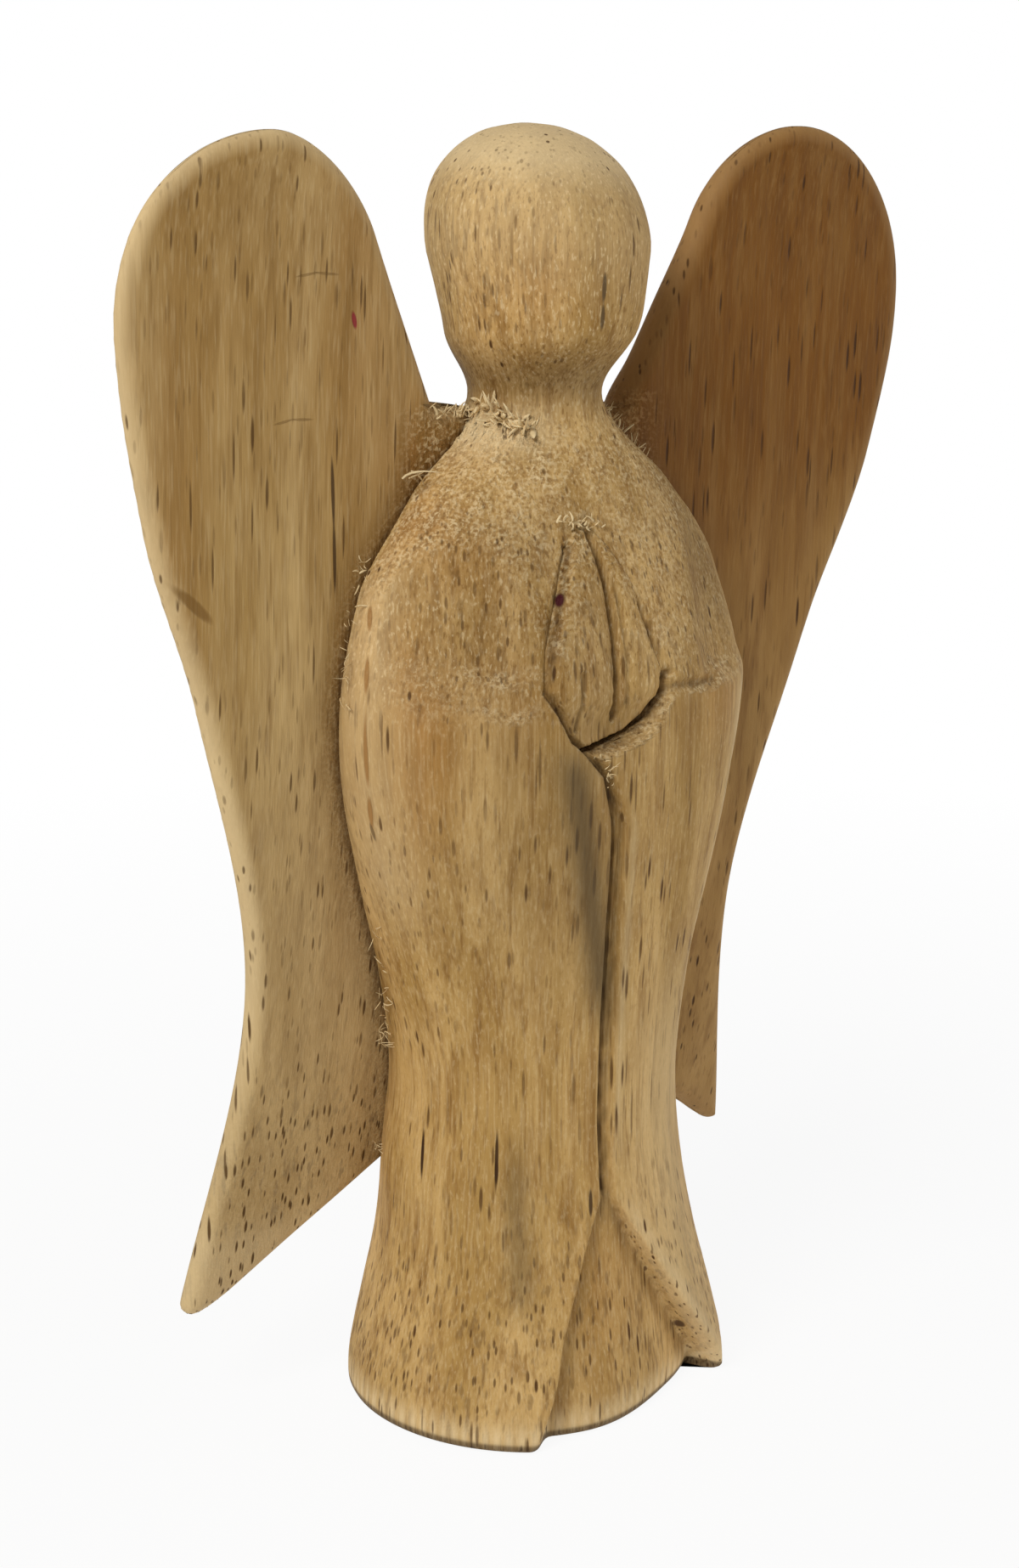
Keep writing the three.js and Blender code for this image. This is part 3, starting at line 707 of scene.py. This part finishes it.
def carved_front(x, y, z):
    """The front of the body as a depth over x and z, and how much of it is seam, recess and hands.

    The panel is the round robe, cut flat on both sides of the chest above the ledges. The floor is
    the skirt in the split, the bottom of the seam, and the hands. The floor shows between the edges.
    """
    reach = FACET_REACH - (z - FACET_Z) * FACET_LEAN
    chest = y
    for side in (-1, 1):
        flat = (side * x * np.sin(FACET_ANGLE) - reach) / np.cos(FACET_ANGLE)
        chest = smooth_max(chest, flat, FACET_BLEND)
    panel = y + (chest - y) * chest_opening(x, z)

    down = np.clip(1 - z / SPLIT_TOP_Z, 0, 1) ** SPLIT_POWER
    hem_depth = SKIRT_DEPTH_RIGHT + (SKIRT_DEPTH_LEFT - SKIRT_DEPTH_RIGHT) * ease(*SKIRT_X, x)
    floor = y + SEAM_DEPTH + (hem_depth - SEAM_DEPTH) * down

    right, left = right_edge(z), left_edge(z)
    across = np.where(x < PALM_X, (x - right) / (PALM_X - right), (left - x) / (left - PALM_X))
    across = np.clip(across, 0, 1)
    swell = PALM_SWELL * np.sqrt(np.maximum(1 - (2 * across - 1) ** 2, 0))
    hands = -hands_front(z) - swell * within(z, *PALM_Z)
    hands = np.where(z > HANDS_TOP_Z, panel, hands)
    hands = hands + (panel - hands) * ease(HANDS_FADE_Z, HANDS_TOP_Z, z)
    floor = floor + (hands - floor) * ease(CUFF_FOOT_Z, CUFF_POINT_Z, z)

    inside = within(x, *edge_walls(z))
    cut, dark = np.zeros(x.shape), np.zeros(x.shape)
    for line, wide, deep, darkness in CUT_LINES:
        away = line_distance(x, z, line)
        cut = np.maximum(cut, deep * np.clip(1 - (away / wide) ** 2, 0, 1))
        # painted shade in the cuts
        dark = np.maximum(dark, darkness * hump(away, 0, CUT_SHADE * wide))
    return panel + (floor - panel) * inside + cut, inside, floor - panel, dark


def body_points():
    """The body's grid: elliptic rings, carved in front, rounded at the hem, leaning at the head."""
    levels = body_levels()
    z = levels[:, None]
    turn = body_turns(levels)
    closing = crown_round(z)
    facing = np.cos(turn)
    x = half_width(z) * closing * np.sin(turn)
    y = -facing * np.where(facing > 0, front_reach(z), back_reach(z)) * closing
    for out, middle, high in SWELLS:
        x = x + out * hump(z, middle, high) * ease(*SWELL_SIDE, np.sign(out) * np.sin(turn))
    in_front = ease(0, FRONT_FACING, facing) * (z < CARVED_TOP_Z)
    carved, inside, drop, dark = carved_front(x, y, z)
    y = y + (carved - y) * in_front
    inside = inside * in_front

    band = HEM_BAND_DEPTH * np.clip(1 - z / HEM_BAND_Z, 0, 1) ** 2
    rim = HEM_ROUND * (1 - np.sqrt(1 - np.clip(1 - z / HEM_ROUND, 0, 1) ** 2))
    keep = 1 - (band + rim) / np.maximum(np.hypot(x, y), 1)
    x, y = x * keep, y * keep
    lean = head_lean(z)
    x = x + HEAD_LEAN_WAY[0] * lean
    y = y + HEAD_LEAN_WAY[1] * lean
    z = np.broadcast_to(z, x.shape)
    return np.stack([x, y, z], -1), turn, inside, drop, dark * in_front


def torn_shares(x, y, z, upward, degrees):
    """How torn the wood is: in patches where it faces up, and at the neck and above the left wing."""
    patchy = np.clip(TORN_LEVEL + PATCH_CONTRAST * unevenness(x, y, z, *TORN_PATCH), 0, 1)
    torn = ease(*TORN_FACING, upward) * (z < TORN_TOP_Z) * (z > TORN_FOOT_Z) * patchy
    neck_tear = hump(z, *NECK_TEAR_Z) * within(degrees, *NECK_TEAR_TURN)
    left_tear = hump(z, *LEFT_TEAR_Z) * hump(degrees, *LEFT_TEAR_TURN)
    torn = torn * (1 - CALM_SLEEVE * hump(z, *CALM_SLEEVE_Z) * (1 - ease(*CALM_SLEEVE_X, x)))
    torn = np.maximum(np.maximum(torn, neck_tear), LEFT_TEAR * left_tear)
    return torn, neck_tear, left_tear


def body_tints(points, turn, upward, inside, drop, dark, torn_places):
    """The shares of shade, cream, grey, pores, honey and specks over the body's rings.

    Most are bells across the body and soft bands up it. Those of the front follow its two edges.
    """
    x, y, z = np.moveaxis(points, -1, 0)
    torn, neck_tear, left_tear = torn_places
    degrees = np.degrees(turn)
    front = np.cos(turn) > 0
    right, left = right_edge(z), left_edge(z)
    measures = {
        "round": np.zeros(z.shape),
        "turn": degrees,
        "left": np.where(front, x - left, np.inf),
        "panel": np.where(front & (x > left), degrees, np.inf),
        "stain": np.where(front, x - STAIN_X + STAIN_LEAN * (z - STAIN_Z), np.inf),
    }
    tints = {key: np.zeros(z.shape) for key in ("shade", "pale", "grey", "fleck")}
    for key, strength, measure, middle, wide, rise, fall in BODY_TINTS:
        tints[key] += strength * hump(measures[measure], middle, wide) * within(z, rise, fall)

    lines = SEAM_SHADE * inside * within(z, *SEAM_Z) + dark
    lines += RECESS_SHADE * inside * ease(*RECESS_DROP, drop) * ease(*RECESS_Z, z)
    split = SPLIT_SHADE * hump(x - right, *SPLIT_LINE)
    split += SKIRT_SHADE * inside * ease(left - SKIRT_SHADE_WIDTH, left, x)
    lines += split * (1 - ease(*SPLIT_FADE_Z, z))
    broken = BROKEN_LEVEL + PATCH_CONTRAST * unevenness(x, y, z, *BROKEN_PATCH)
    tints["shade"] += lines * np.clip(broken, BROKEN_LEAST, 1) * front + CHIN_SHADE * hump(z, *CHIN_Z)
    tints["shade"] += SHOULDER_SHADE * hump(degrees, *SHOULDER_TURN) * hump(z, *SHOULDER_Z)

    waves, stray, slow = STRIPE_TURNS
    stripes = 0.5 + 0.5 * np.sin(waves * degrees + stray * np.sin(slow * degrees))
    hem = HEM_STRIPES[0] + HEM_STRIPES[1] * stripes
    # cream on the head, with painted light where it faces up
    head = HEAD_PALE[0] + HEAD_PALE[1] * ease(*HEAD_TOP_FACING, upward)
    tufts = SHOULDER_PALE * (z > SHOULDER_PALE_Z) + LEDGE_PALE * (z < LEDGE_PALE_Z)
    tints["pale"] += hem * (1 - ease(HEM_PALE_Z, HEM_BAND_Z, z))
    tints["pale"] += head * ease(*HEAD_PALE_Z, z) + NECK_PALE * neck_tear + torn * tufts

    chest = front * within(z, *CHEST_FLECK_Z) * (1 - ease(*CHEST_FLECK_X, np.abs(x)))
    tints["grey"] += LEFT_TEAR_GREY * left_tear
    tints["fleck"] += CHEST_FLECKS * chest
    tints["torn"] = torn
    tints["warm"] = front * warm_patches(x, z, WARM_PATCHES)
    tints["speck"] = ROBE_SPECKS + (1 - ROBE_SPECKS) * ease(*SPECK_Z, z)
    return tints


def carved_body(material):
    """The body's piece: its grid with the knife's waviness, torn grain, a flat base and a crown."""
    points, turn, inside, drop, dark = body_points()
    x, y, z = np.moveaxis(points, -1, 0)
    normal = normals_of(points)
    upward = normal[..., 2]
    torn_places = torn_shares(x, y, z, upward, np.degrees(turn))
    tints = body_tints(points, turn, upward, inside, drop, dark, torn_places)

    torn, neck_tear, _ = torn_places
    calm = (1 - CALM_RECESS * inside * ease(*CALM_DROP, np.abs(drop))) * ease(*CALM_HEM_Z, z)
    rough = rng.uniform(-1, 1, z.shape) * (ROUGH_SANDED + ROUGH_TORN * torn + ROUGH_NECK * neck_tear)
    out = calm * knife_waves(x, y, z, BODY_WAVES) + rough * ease(*ROUGH_HEM_Z, z)
    points = points + normal * out[..., None]

    columns = z.shape[1]
    base = points[0][None] * np.linspace(BASE_INNER, 1, BASE_RINGS + 1)[:-1, None, None]
    base[..., 2] = 0
    points = np.concatenate([base, points])
    poles = np.array([[0, 0, 0], points[-1].mean(0) * (1, 1, 0) + (0, 0, CROWN_Z)])
    attributes = {}
    for key, values in tints.items():
        below = np.full(BASE_RINGS * columns, BASE_TINTS.get(key, 0.0))
        attributes[key] = np.concatenate([below, values.ravel(), np.full(2, CROWN_TINTS.get(key, 0.0))])
    faces = tube_faces(len(points), columns)
    points = np.concatenate([points.reshape(-1, 3), poles])
    return grid_mesh("body_carving", points, faces, material, attributes)


def wing_outline(tip, foot, web, shifts):
    """Inner and outer edge of a board over height; shifts move the edges where the hand did."""
    (tip_z, tip_width, tip_round), (web_z, web_x) = tip, web
    (top_z, top_x), (wide_z, wide_x), (neck_z, neck_x) = WING_TOP, WING_WIDEST, WING_NECK
    outer_shift, inner_shift = (smooth_curve(stations) for stations in shifts)
    outer_below = smooth_curve([(tip_z, WING_TIP_X), *WING_FLANK, WING_WIDEST, (top_z, wide_x)])
    rise = (neck_x - WING_CUT_X) / (neck_z - web_z - WEB_STEP)
    inner_top = neck_x + rise * (top_z - neck_z)
    inner_below = straight_curve(
        [
            (tip_z, WING_TIP_X - tip_width),
            *foot,
            (web_z - WEB_SLOPE, WING_ROOT_X),
            (web_z - WEB_FOOT, web_x),
            (web_z, web_x),
            (web_z + WEB_STEP, WING_CUT_X),
            (top_z, inner_top),
        ]
    )

    def falling(z, start):
        t = np.clip((z - start) / (top_z - start), 0, 1)
        return 1 - np.sqrt(1 - t * t)

    def pinch(z):
        t = np.clip(1 - (z - tip_z) / tip_round, 0, 1)
        return tip_round * (1 - np.sqrt(1 - t * t))

    def inner(z):
        return inner_below(z) + (top_x - inner_top) * falling(z, neck_z) + inner_shift(z) + pinch(z)

    def outer(z):
        return outer_below(z) + (top_x - wide_x) * falling(z, wide_z) + outer_shift(z) - pinch(z)

    return inner, outer


def wing_heights(tip, tip_rows, board_rows, top_rows):
    """Heights of a board's rows: by even turns round the tip and the top, and even steps between."""
    tip_z, _, tip_round = tip
    low = tip_z + tip_round * (1 - np.cos(np.linspace(0, np.pi / 2, tip_rows, endpoint=False)))
    middle = np.linspace(tip_z + tip_round, WING_DOME_Z, board_rows, endpoint=False)
    high = WING_DOME_Z + (WING_TOP[0] - WING_DOME_Z) * np.sin(np.linspace(0, np.pi / 2, top_rows))
    return np.concatenate([low, middle, high])


def wing_tints(x, y, z, rim, warm, fleck_share):
    """The shares of shade, cream with a painted highlight on the rim, grey, torn grain, pores and honey
    over a board's rings.
    """
    wide, deep = half_width(z), np.where(y < 0, front_reach(z), back_reach(z))
    clear = (np.hypot(x / wide, y / deep) - 1) * wide
    clear = np.where(z > ABOVE_BODY_Z, CLEAR_OF_BODY, clear)
    tail = 1 - ease(*TAIL_Z, z)
    web = hump(np.abs(x), WING_CUT_X, WEB_TORN_WIDTH) * ease(*WEB_TORN_Z, z) * (z < ABOVE_BODY_Z)
    # painted highlight on the rim, with cream at the tail and tip
    pale = rim * (RIM_HIGHLIGHT + (1 - RIM_HIGHLIGHT) * ease(*RIM_HIGHLIGHT_Z, z))
    for strength, fade in WING_PALE:
        pale = pale + strength * (1 - ease(*fade, z))
    torn = TAIL_TORN * fleck_share * tail + ROOT_TORN * hump(clear, 0, ROOT_TORN_WIDTH) + WEB_TORN * web
    return {
        "shade": sum(strength * hump(clear, away, width) for strength, away, width in ROOT_SHADES),
        "pale": pale,
        "grey": TAIL_GREY * tail,
        "torn": torn,
        "fleck": fleck_share * tail,
        "warm": warm(x, z),
    }


def wing_board(name, side, tip, foot, web, shifts, warm, fleck_share, material):
    """A board: two sheets over one flat grid, a thickness apart, that meet in a round rim."""
    inner, outer = wing_outline(tip, foot, web, shifts)
    tip_z, (web_z, web_x), top_z = tip[0], web, WING_TOP[0]
    z = np.minimum(wing_heights(tip, *WING_ROWS), top_z - WING_TOP_GAP)
    share = (1 - np.cos(np.linspace(0, np.pi, WING_COLUMNS))) / 2
    low, high = inner(z), outer(z)
    bare = np.maximum(low, WING_CUT_X)
    guide = bare + WEB_SHARE * (high - bare)
    x = np.where(
        share < WEB_SHARE,
        low[:, None] + (guide - low)[:, None] * share / WEB_SHARE,
        guide[:, None] + (high - guide)[:, None] * (share - WEB_SHARE) / (1 - WEB_SHARE),
    )
    z = np.broadcast_to(z[:, None], x.shape)

    bend = smooth_curve([(tip_z, WING_TIP_BACK), *WING_BEND, (top_z, WING_TOP_BACK)])
    middle = bend(z) + WING_SWEEP * (outer(z) - x)
    reach = np.clip((x - WING_ROOT_X) / (WING_WIDEST[1] - WING_ROOT_X), 0, 1)
    half = (WING_ROOT_THICKNESS + (WING_EDGE_THICKNESS - WING_ROOT_THICKNESS) * reach) / 2
    fine = wing_heights(tip, *RIM_ROWS)
    step = np.linspace(web_x, WING_CUT_X, RIM_ROWS[0])
    edge_x = np.concatenate([inner(fine), outer(fine), x[0], step])
    edge_z = np.concatenate([fine, fine, z[0], np.full_like(step, web_z + WEB_STEP / 2)])
    rows = zip(x[..., None], z[..., None])
    away = np.stack([np.hypot(row_x - edge_x, row_z - edge_z).min(1) for row_x, row_z in rows])
    fall = 1 - np.clip(away / WING_RIM, 0, 1)
    fall[[0, -1]] = 1
    fall[:, [0, -1]] = 1
    half = half * np.sqrt(1 - fall**2)
    waves = knife_waves(x * side, middle, z, WING_WAVES) * (1 - fall)
    front = middle - half + waves
    back = middle + half + BACK_WAVES * waves

    def ring(in_front, behind):
        """Rows that run across the front and return behind, counter-clockwise seen from above."""
        rows = np.concatenate([in_front, behind[:, -2:0:-1]], 1)
        return rows if side > 0 else rows[:, ::-1]

    points = np.stack([ring(x, x) * side, ring(front, back), ring(z, z)], -1)
    tints = wing_tints(*np.moveaxis(points, -1, 0), ring(fall, fall), warm, fleck_share)
    ends = np.stack([points[0].mean(0), points[-1].mean(0)])
    attributes = {key: np.append(values, np.full(2, WING_END_SHARE)) for key, values in tints.items()}
    faces = tube_faces(*points.shape[:2])
    return grid_mesh(name, np.concatenate([points.reshape(-1, 3), ends]), faces, material, attributes)


def torn_fibres(name, groups, material):
    """Loose fibres: thin flat spindles that rise from a line on the wood, taper and curl over."""
    t = np.linspace(0, 1, FIBRE_RINGS)[None, :, None]
    start_taper, taper = FIBRE_TAPER
    points = []
    for line, count, length, width, way in groups:
        line = np.array(line)
        spot = rng.uniform(0, len(line) - 1, count)
        start = np.stack([np.interp(spot, np.arange(len(line)), line[:, k]) for k in range(3)], -1)
        start = start + rng.normal(0, FIBRE_SPREAD, (count, 3))
        ahead = np.array(way) + rng.normal(0, FIBRE_STRAY, (count, 3))
        ahead = ahead / np.linalg.norm(ahead, axis=1, keepdims=True)
        aside = np.cross(ahead, rng.normal(0, 1, (count, 3)))
        aside = aside / np.linalg.norm(aside, axis=1, keepdims=True)
        flat = FIBRE_FLATNESS * np.cross(ahead, aside)[:, None]
        ahead, aside = ahead[:, None], aside[:, None]
        long = rng.uniform(*FIBRE_LENGTHS, (count, 1, 1)) * length
        curl = rng.uniform(-FIBRE_CURL, FIBRE_CURL, (count, 1, 1))
        path = start[:, None] + long * (ahead * t + aside * curl * t * t)
        thick = width * rng.uniform(*FIBRE_WIDTHS, (count, 1, 1))
        thick = thick * np.sqrt(np.sin(np.pi * (start_taper + taper * t)))
        around = [path + thick * out for out in (aside, flat, -aside, -flat)]
        points.append(np.stack(around, 2).reshape(-1, 3))
    points = np.concatenate(points)

    sides, size = FIBRE_SIDES, FIBRE_RINGS * FIBRE_SIDES
    total = len(points) // size
    ends = np.array([np.arange(sides)[::-1], np.arange(size - sides, size)])
    first = (np.arange(total) * size)[:, None, None]
    faces = [(first + corners).reshape(-1, sides) for corners in (ring_quads(FIBRE_RINGS, sides), ends)]
    pale = np.repeat(rng.uniform(*FIBRE_PALE, total), size)
    return grid_mesh(name, points, np.concatenate(faces).tolist(), material, {"pale": pale})


def right_warm(x, z):
    """Honey brown on the right wing: its outer edge and web, and weaker its root and top."""
    root = RIGHT_ROOT_WARM * hump(x, *RIGHT_ROOT_X) * ease(*RIGHT_ROOT_Z, z)
    return warm_patches(x, z, RIGHT_WING_WARM) + root + RIGHT_TOP_WARM * ease(*RIGHT_TOP_Z, z)


def left_warm(x, z):
    """Honey brown over the left wing's upper half, fading to tan at its tail and outer edge."""
    tan = LEFT_RIM_TAN * hump(x, *LEFT_RIM_X) * (1 - ease(*LEFT_RIM_Z, z))
    return ease(*LEFT_WARM_Z, z) * (1 - tan)


def from_axis(place):
    """The way out of the body's round side."""
    return Vector((place.x, place.y, 0))


def to_front(place):
    """The way out of a wing's front, the same all over it."""
    return Vector((0, -1, 0))


def add_node(tree, kind, links=None, out=0, **settings):
    """A shader node with its settings; each link is a socket to join, or a value for the input.

    What comes back is the output that later nodes take.
    """
    node = tree.nodes.new("ShaderNode" + kind)
    for key, value in settings.items():
        setattr(node, key, value)
    for socket, source in (links or {}).items():
        if isinstance(source, bpy.types.NodeSocket):
            tree.links.new(source, node.inputs[socket])
        else:
            node.inputs[socket].default_value = source
    return node.outputs[out] if node.outputs else None


def new_material(name):
    """An empty node material, and its tree."""
    material = bpy.data.materials.new(name)
    material.use_nodes = True
    material.node_tree.nodes.clear()
    return material, material.node_tree


def per_mm(across_x, across_y, along_z):
    """Scale that gives a pattern these sizes in millimetres on Object coordinates."""
    return (1 / (across_x * MM), 1 / (across_y * MM), 1 / (along_z * MM))


def carved_wood(name, palette, marks=(), outward=None):
    """Light tropical hardwood, cut with a knife and lightly sanded, with no varnish.

    To the eye: a honey ground with soft bands along the grain, thin brown streaks, and open pores
    that show as dark dashes where the cut runs along them and as dots where it runs across them.
    Torn places are speckled with cream tufts and brown pits.
    """
    material, tree = new_material(name)
    place = add_node(tree, "TexCoord", out="Object")
    value = {
        key: add_node(tree, "Attribute", out="Fac", attribute_name=key)
        for key in ("torn", "pale", "shade", "grey", "fleck", "warm", "speck")
    }
    for kind, patterns in (("TexNoise", GRAIN_NOISE), ("TexVoronoi", PORES)):
        for key, width, length, detail in patterns:
            scale = {0: place, 1: per_mm(width, width, length)}
            space = add_node(tree, "VectorMath", scale, operation="MULTIPLY")
            value[key] = add_node(tree, kind, {"Vector": space, "Scale": 1.0, "Detail": detail})
    for key, source, low, high, to_low, to_high in MASKS:
        links = {"Value": value[source], "From Min": low, "From Max": high}
        links |= {"To Min": to_low, "To Max": to_high}
        value[key] = add_node(tree, "MapRange", links, interpolation_type="SMOOTHSTEP")
    for key, operation, first, second in SUMS:
        links = {0: value.get(first, first), 1: value.get(second, second)}
        value[key] = add_node(tree, "Math", links, operation=operation)

    tone = {key: linear(hex_colour) for key, hex_colour in zip(TONES, palette)}
    colour = tone["middle"]
    for key, above in TINTS:
        links = {0: value[key], MIX_A: colour, MIX_B: tone[above]}
        colour = add_node(tree, "Mix", links, out=MIX_OUT, data_type="RGBA")
    relief = value["relief"]
    stretches = [(*ends, *look) for line, *look in marks for ends in zip(line[:-1], line[1:])]
    for start, end, radius, mark_colour, strength in stretches:
        middle, along = (Vector(start) + Vector(end)) / 2, Vector(end) - Vector(start)
        aside = along.cross(outward(middle)).normalized()
        into = along.cross(aside).normalized()
        links = {
            "Vector": place,
            "Location": middle * MM,
            "Rotation": Matrix((aside, -into, along.normalized())).transposed().to_euler(),
            "Scale": (radius * MM, MARK_DEPTH * MM, max(along.length * MARK_STRETCH, radius) * MM),
        }
        local = add_node(tree, "Mapping", links, vector_type="TEXTURE")
        away = add_node(tree, "VectorMath", {0: local}, out="Value", operation="LENGTH")
        links = {"Value": away, "From Min": 1.0, "From Max": MARK_CORE, "To Max": strength}
        spot = add_node(tree, "MapRange", links, interpolation_type="SMOOTHSTEP")
        links = {0: spot, MIX_A: colour, MIX_B: linear(mark_colour)}
        colour = add_node(tree, "Mix", links, out=MIX_OUT, data_type="RGBA")
        relief = add_node(tree, "Math", {0: relief, 1: spot}, operation="SUBTRACT")

    bump = {"Height": relief, "Strength": BUMP_STRENGTH, "Distance": BUMP_HEIGHT * MM}
    surface = {
        "Base Color": colour,
        "Roughness": value["roughness"],
        "Normal": add_node(tree, "Bump", bump),
        "Specular IOR Level": WOOD_SPECULAR,
    }
    shader = add_node(tree, "BsdfPrincipled", surface)
    add_node(tree, "OutputMaterial", {"Surface": shader})
    return material


def split_bamboo():
    """Split and scraped bamboo: pale straw with close darker strands along the pin."""
    material, tree = new_material("split_bamboo")
    place = add_node(tree, "TexCoord", out="Object")
    scale = {0: place, 1: per_mm(STRAND_LENGTH, STRAND_WIDTH, STRAND_WIDTH)}
    space = add_node(tree, "VectorMath", scale, operation="MULTIPLY")
    strands = add_node(tree, "TexNoise", {"Vector": space, "Scale": 1.0, "Detail": 2.0})
    straw = {0: strands, MIX_A: linear(STRAW_LIGHT), MIX_B: linear(STRAW_DARK)}
    bump = {"Height": strands, "Strength": STRAND_STRENGTH, "Distance": STRAND_RELIEF * MM}
    surface = {
        "Base Color": add_node(tree, "Mix", straw, out=MIX_OUT, data_type="RGBA"),
        "Roughness": BAMBOO_ROUGHNESS,
        "Normal": add_node(tree, "Bump", bump),
    }
    shader = add_node(tree, "BsdfPrincipled", surface)
    add_node(tree, "OutputMaterial", {"Surface": shader})
    return material


def seen_directly(tree):
    """1 for the rays that show the background to the eye, and 0 for those that only carry light."""
    rays = tree.nodes.new("ShaderNodeLightPath").outputs
    seen, *others = (rays[kind] for kind in BACKGROUND_RAYS)
    for other in others:
        seen = add_node(tree, "Math", {0: seen, 1: other}, operation="MAXIMUM")
    return seen


def stage_floor():
    """A wide pale light table: near white to the eye, keeping the shadow, aglow round the figure."""
    material, tree = new_material("pale_paper")
    seen = seen_directly(tree)
    place = add_node(tree, "TexCoord", out="Object")
    away = add_node(tree, "VectorMath", {0: place}, out="Value", operation="LENGTH")
    reach = {"Value": away, "From Min": TABLE_NEAR * MM, "From Max": TABLE_FAR * MM}
    table = add_node(tree, "MapRange", {**reach, "To Min": TABLE_GLOW, "To Max": 0.0})
    white = add_node(tree, "MapRange", {**reach, "To Min": FLOOR_WHITE, "To Max": 1.0})
    share = add_node(tree, "Math", {0: seen, 1: white}, operation="MULTIPLY")
    share = add_node(tree, "Math", {0: share, 1: table}, operation="MAXIMUM")
    paper = add_node(tree, "BsdfDiffuse", {"Color": linear(PAPER)})
    glow = add_node(tree, "Emission", {"Color": WHITE})
    mix = add_node(tree, "MixShader", {0: share, 1: paper, 2: glow})
    add_node(tree, "OutputMaterial", {"Surface": mix})
    across = np.array([[-1, -1], [1, -1], [1, 1], [-1, 1]]) * FLOOR_SIDE / 2
    corners = np.column_stack([across, np.full(4, -FLOOR_DROP)])
    grid_mesh("floor", corners, [[0, 1, 2, 3]], material, {})


def place_aimed(name, data, place, look):
    """An object for a lamp or a camera at its place, turned to look a way."""
    holder = bpy.data.objects.new(name, data)
    holder.location = Vector(place) * MM
    holder.rotation_euler = Vector(look).to_track_quat("-Z", "Y").to_euler()
    bpy.context.scene.collection.objects.link(holder)
    return holder


def studio_light():
    """A white room: a large soft lamp above the figure's right, a weak low one, and the walls."""
    world = bpy.data.worlds.new("white_room")
    bpy.context.scene.world = world
    world.use_nodes = True
    tree = world.node_tree
    tree.nodes.clear()
    links = {"Value": seen_directly(tree), "To Min": WALL_LIGHT, "To Max": 1.0}
    strength = add_node(tree, "MapRange", links)
    walls = add_node(tree, "Background", {"Color": WHITE, "Strength": strength})
    add_node(tree, "OutputWorld", {"Surface": walls})
    for name, place, size, power in LAMPS:
        lamp = bpy.data.lights.new(name, "AREA")
        lamp.shape = "DISK"
        lamp.size = size * MM
        lamp.energy = power
        place_aimed(name, lamp, place, Vector((0, 0, LAMP_AIM_Z)) - Vector(place))


def photo_camera():
    """The camera at the photograph's place, looking the photograph's way."""
    data = bpy.data.cameras.new("photo_camera")
    data.lens = CAMERA_LENS
    data.clip_start = CAMERA_NEAR * MM
    bpy.context.scene.camera = place_aimed("photo_camera", data, CAMERA_PLACE, CAMERA_LOOK)


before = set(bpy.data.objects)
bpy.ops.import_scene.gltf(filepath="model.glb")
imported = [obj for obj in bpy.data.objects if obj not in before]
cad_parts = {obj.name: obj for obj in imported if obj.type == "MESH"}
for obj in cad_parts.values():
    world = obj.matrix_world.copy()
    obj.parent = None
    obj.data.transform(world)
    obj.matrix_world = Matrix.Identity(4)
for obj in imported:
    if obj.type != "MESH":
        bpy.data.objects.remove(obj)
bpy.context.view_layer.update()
bpy.context.scene.view_settings.view_transform = "Standard"
photo_camera()

body_wood = carved_wood("carved_light_wood", BODY_PALETTE, BODY_MARKS, from_axis)
right_wing_wood = carved_wood("planed_light_wood", RIGHT_PALETTE, RIGHT_WING_MARKS, to_front)
left_wing_wood = carved_wood("planed_brown_wood", LEFT_PALETTE)
fibre_wood = carved_wood("torn_fibre_wood", FIBRE_PALETTE)
bamboo = split_bamboo()

body = carved_body(body_wood)
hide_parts("carved_body")
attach(body, "root")

right = (-1, RIGHT_TIP, RIGHT_FOOT, RIGHT_WEB, RIGHT_SHIFTS, right_warm, RIGHT_FLECKS, right_wing_wood)
left = (1, LEFT_TIP, LEFT_FOOT, LEFT_WEB, LEFT_SHIFTS, left_warm, LEFT_FLECKS, left_wing_wood)
for node, shape in (("right_wing", right), ("left_wing", left)):
    board = wing_board(f"{node}_board", *shape)
    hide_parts(node)
    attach(board, "root")

fibres = torn_fibres("torn_fibres", FIBRE_GROUPS, fibre_wood)
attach(fibres, "root")

for node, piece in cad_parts.items():
    if node.endswith("_pin"):
        piece.data.materials.clear()
        piece.data.materials.append(bamboo)

stage_floor()
studio_light()
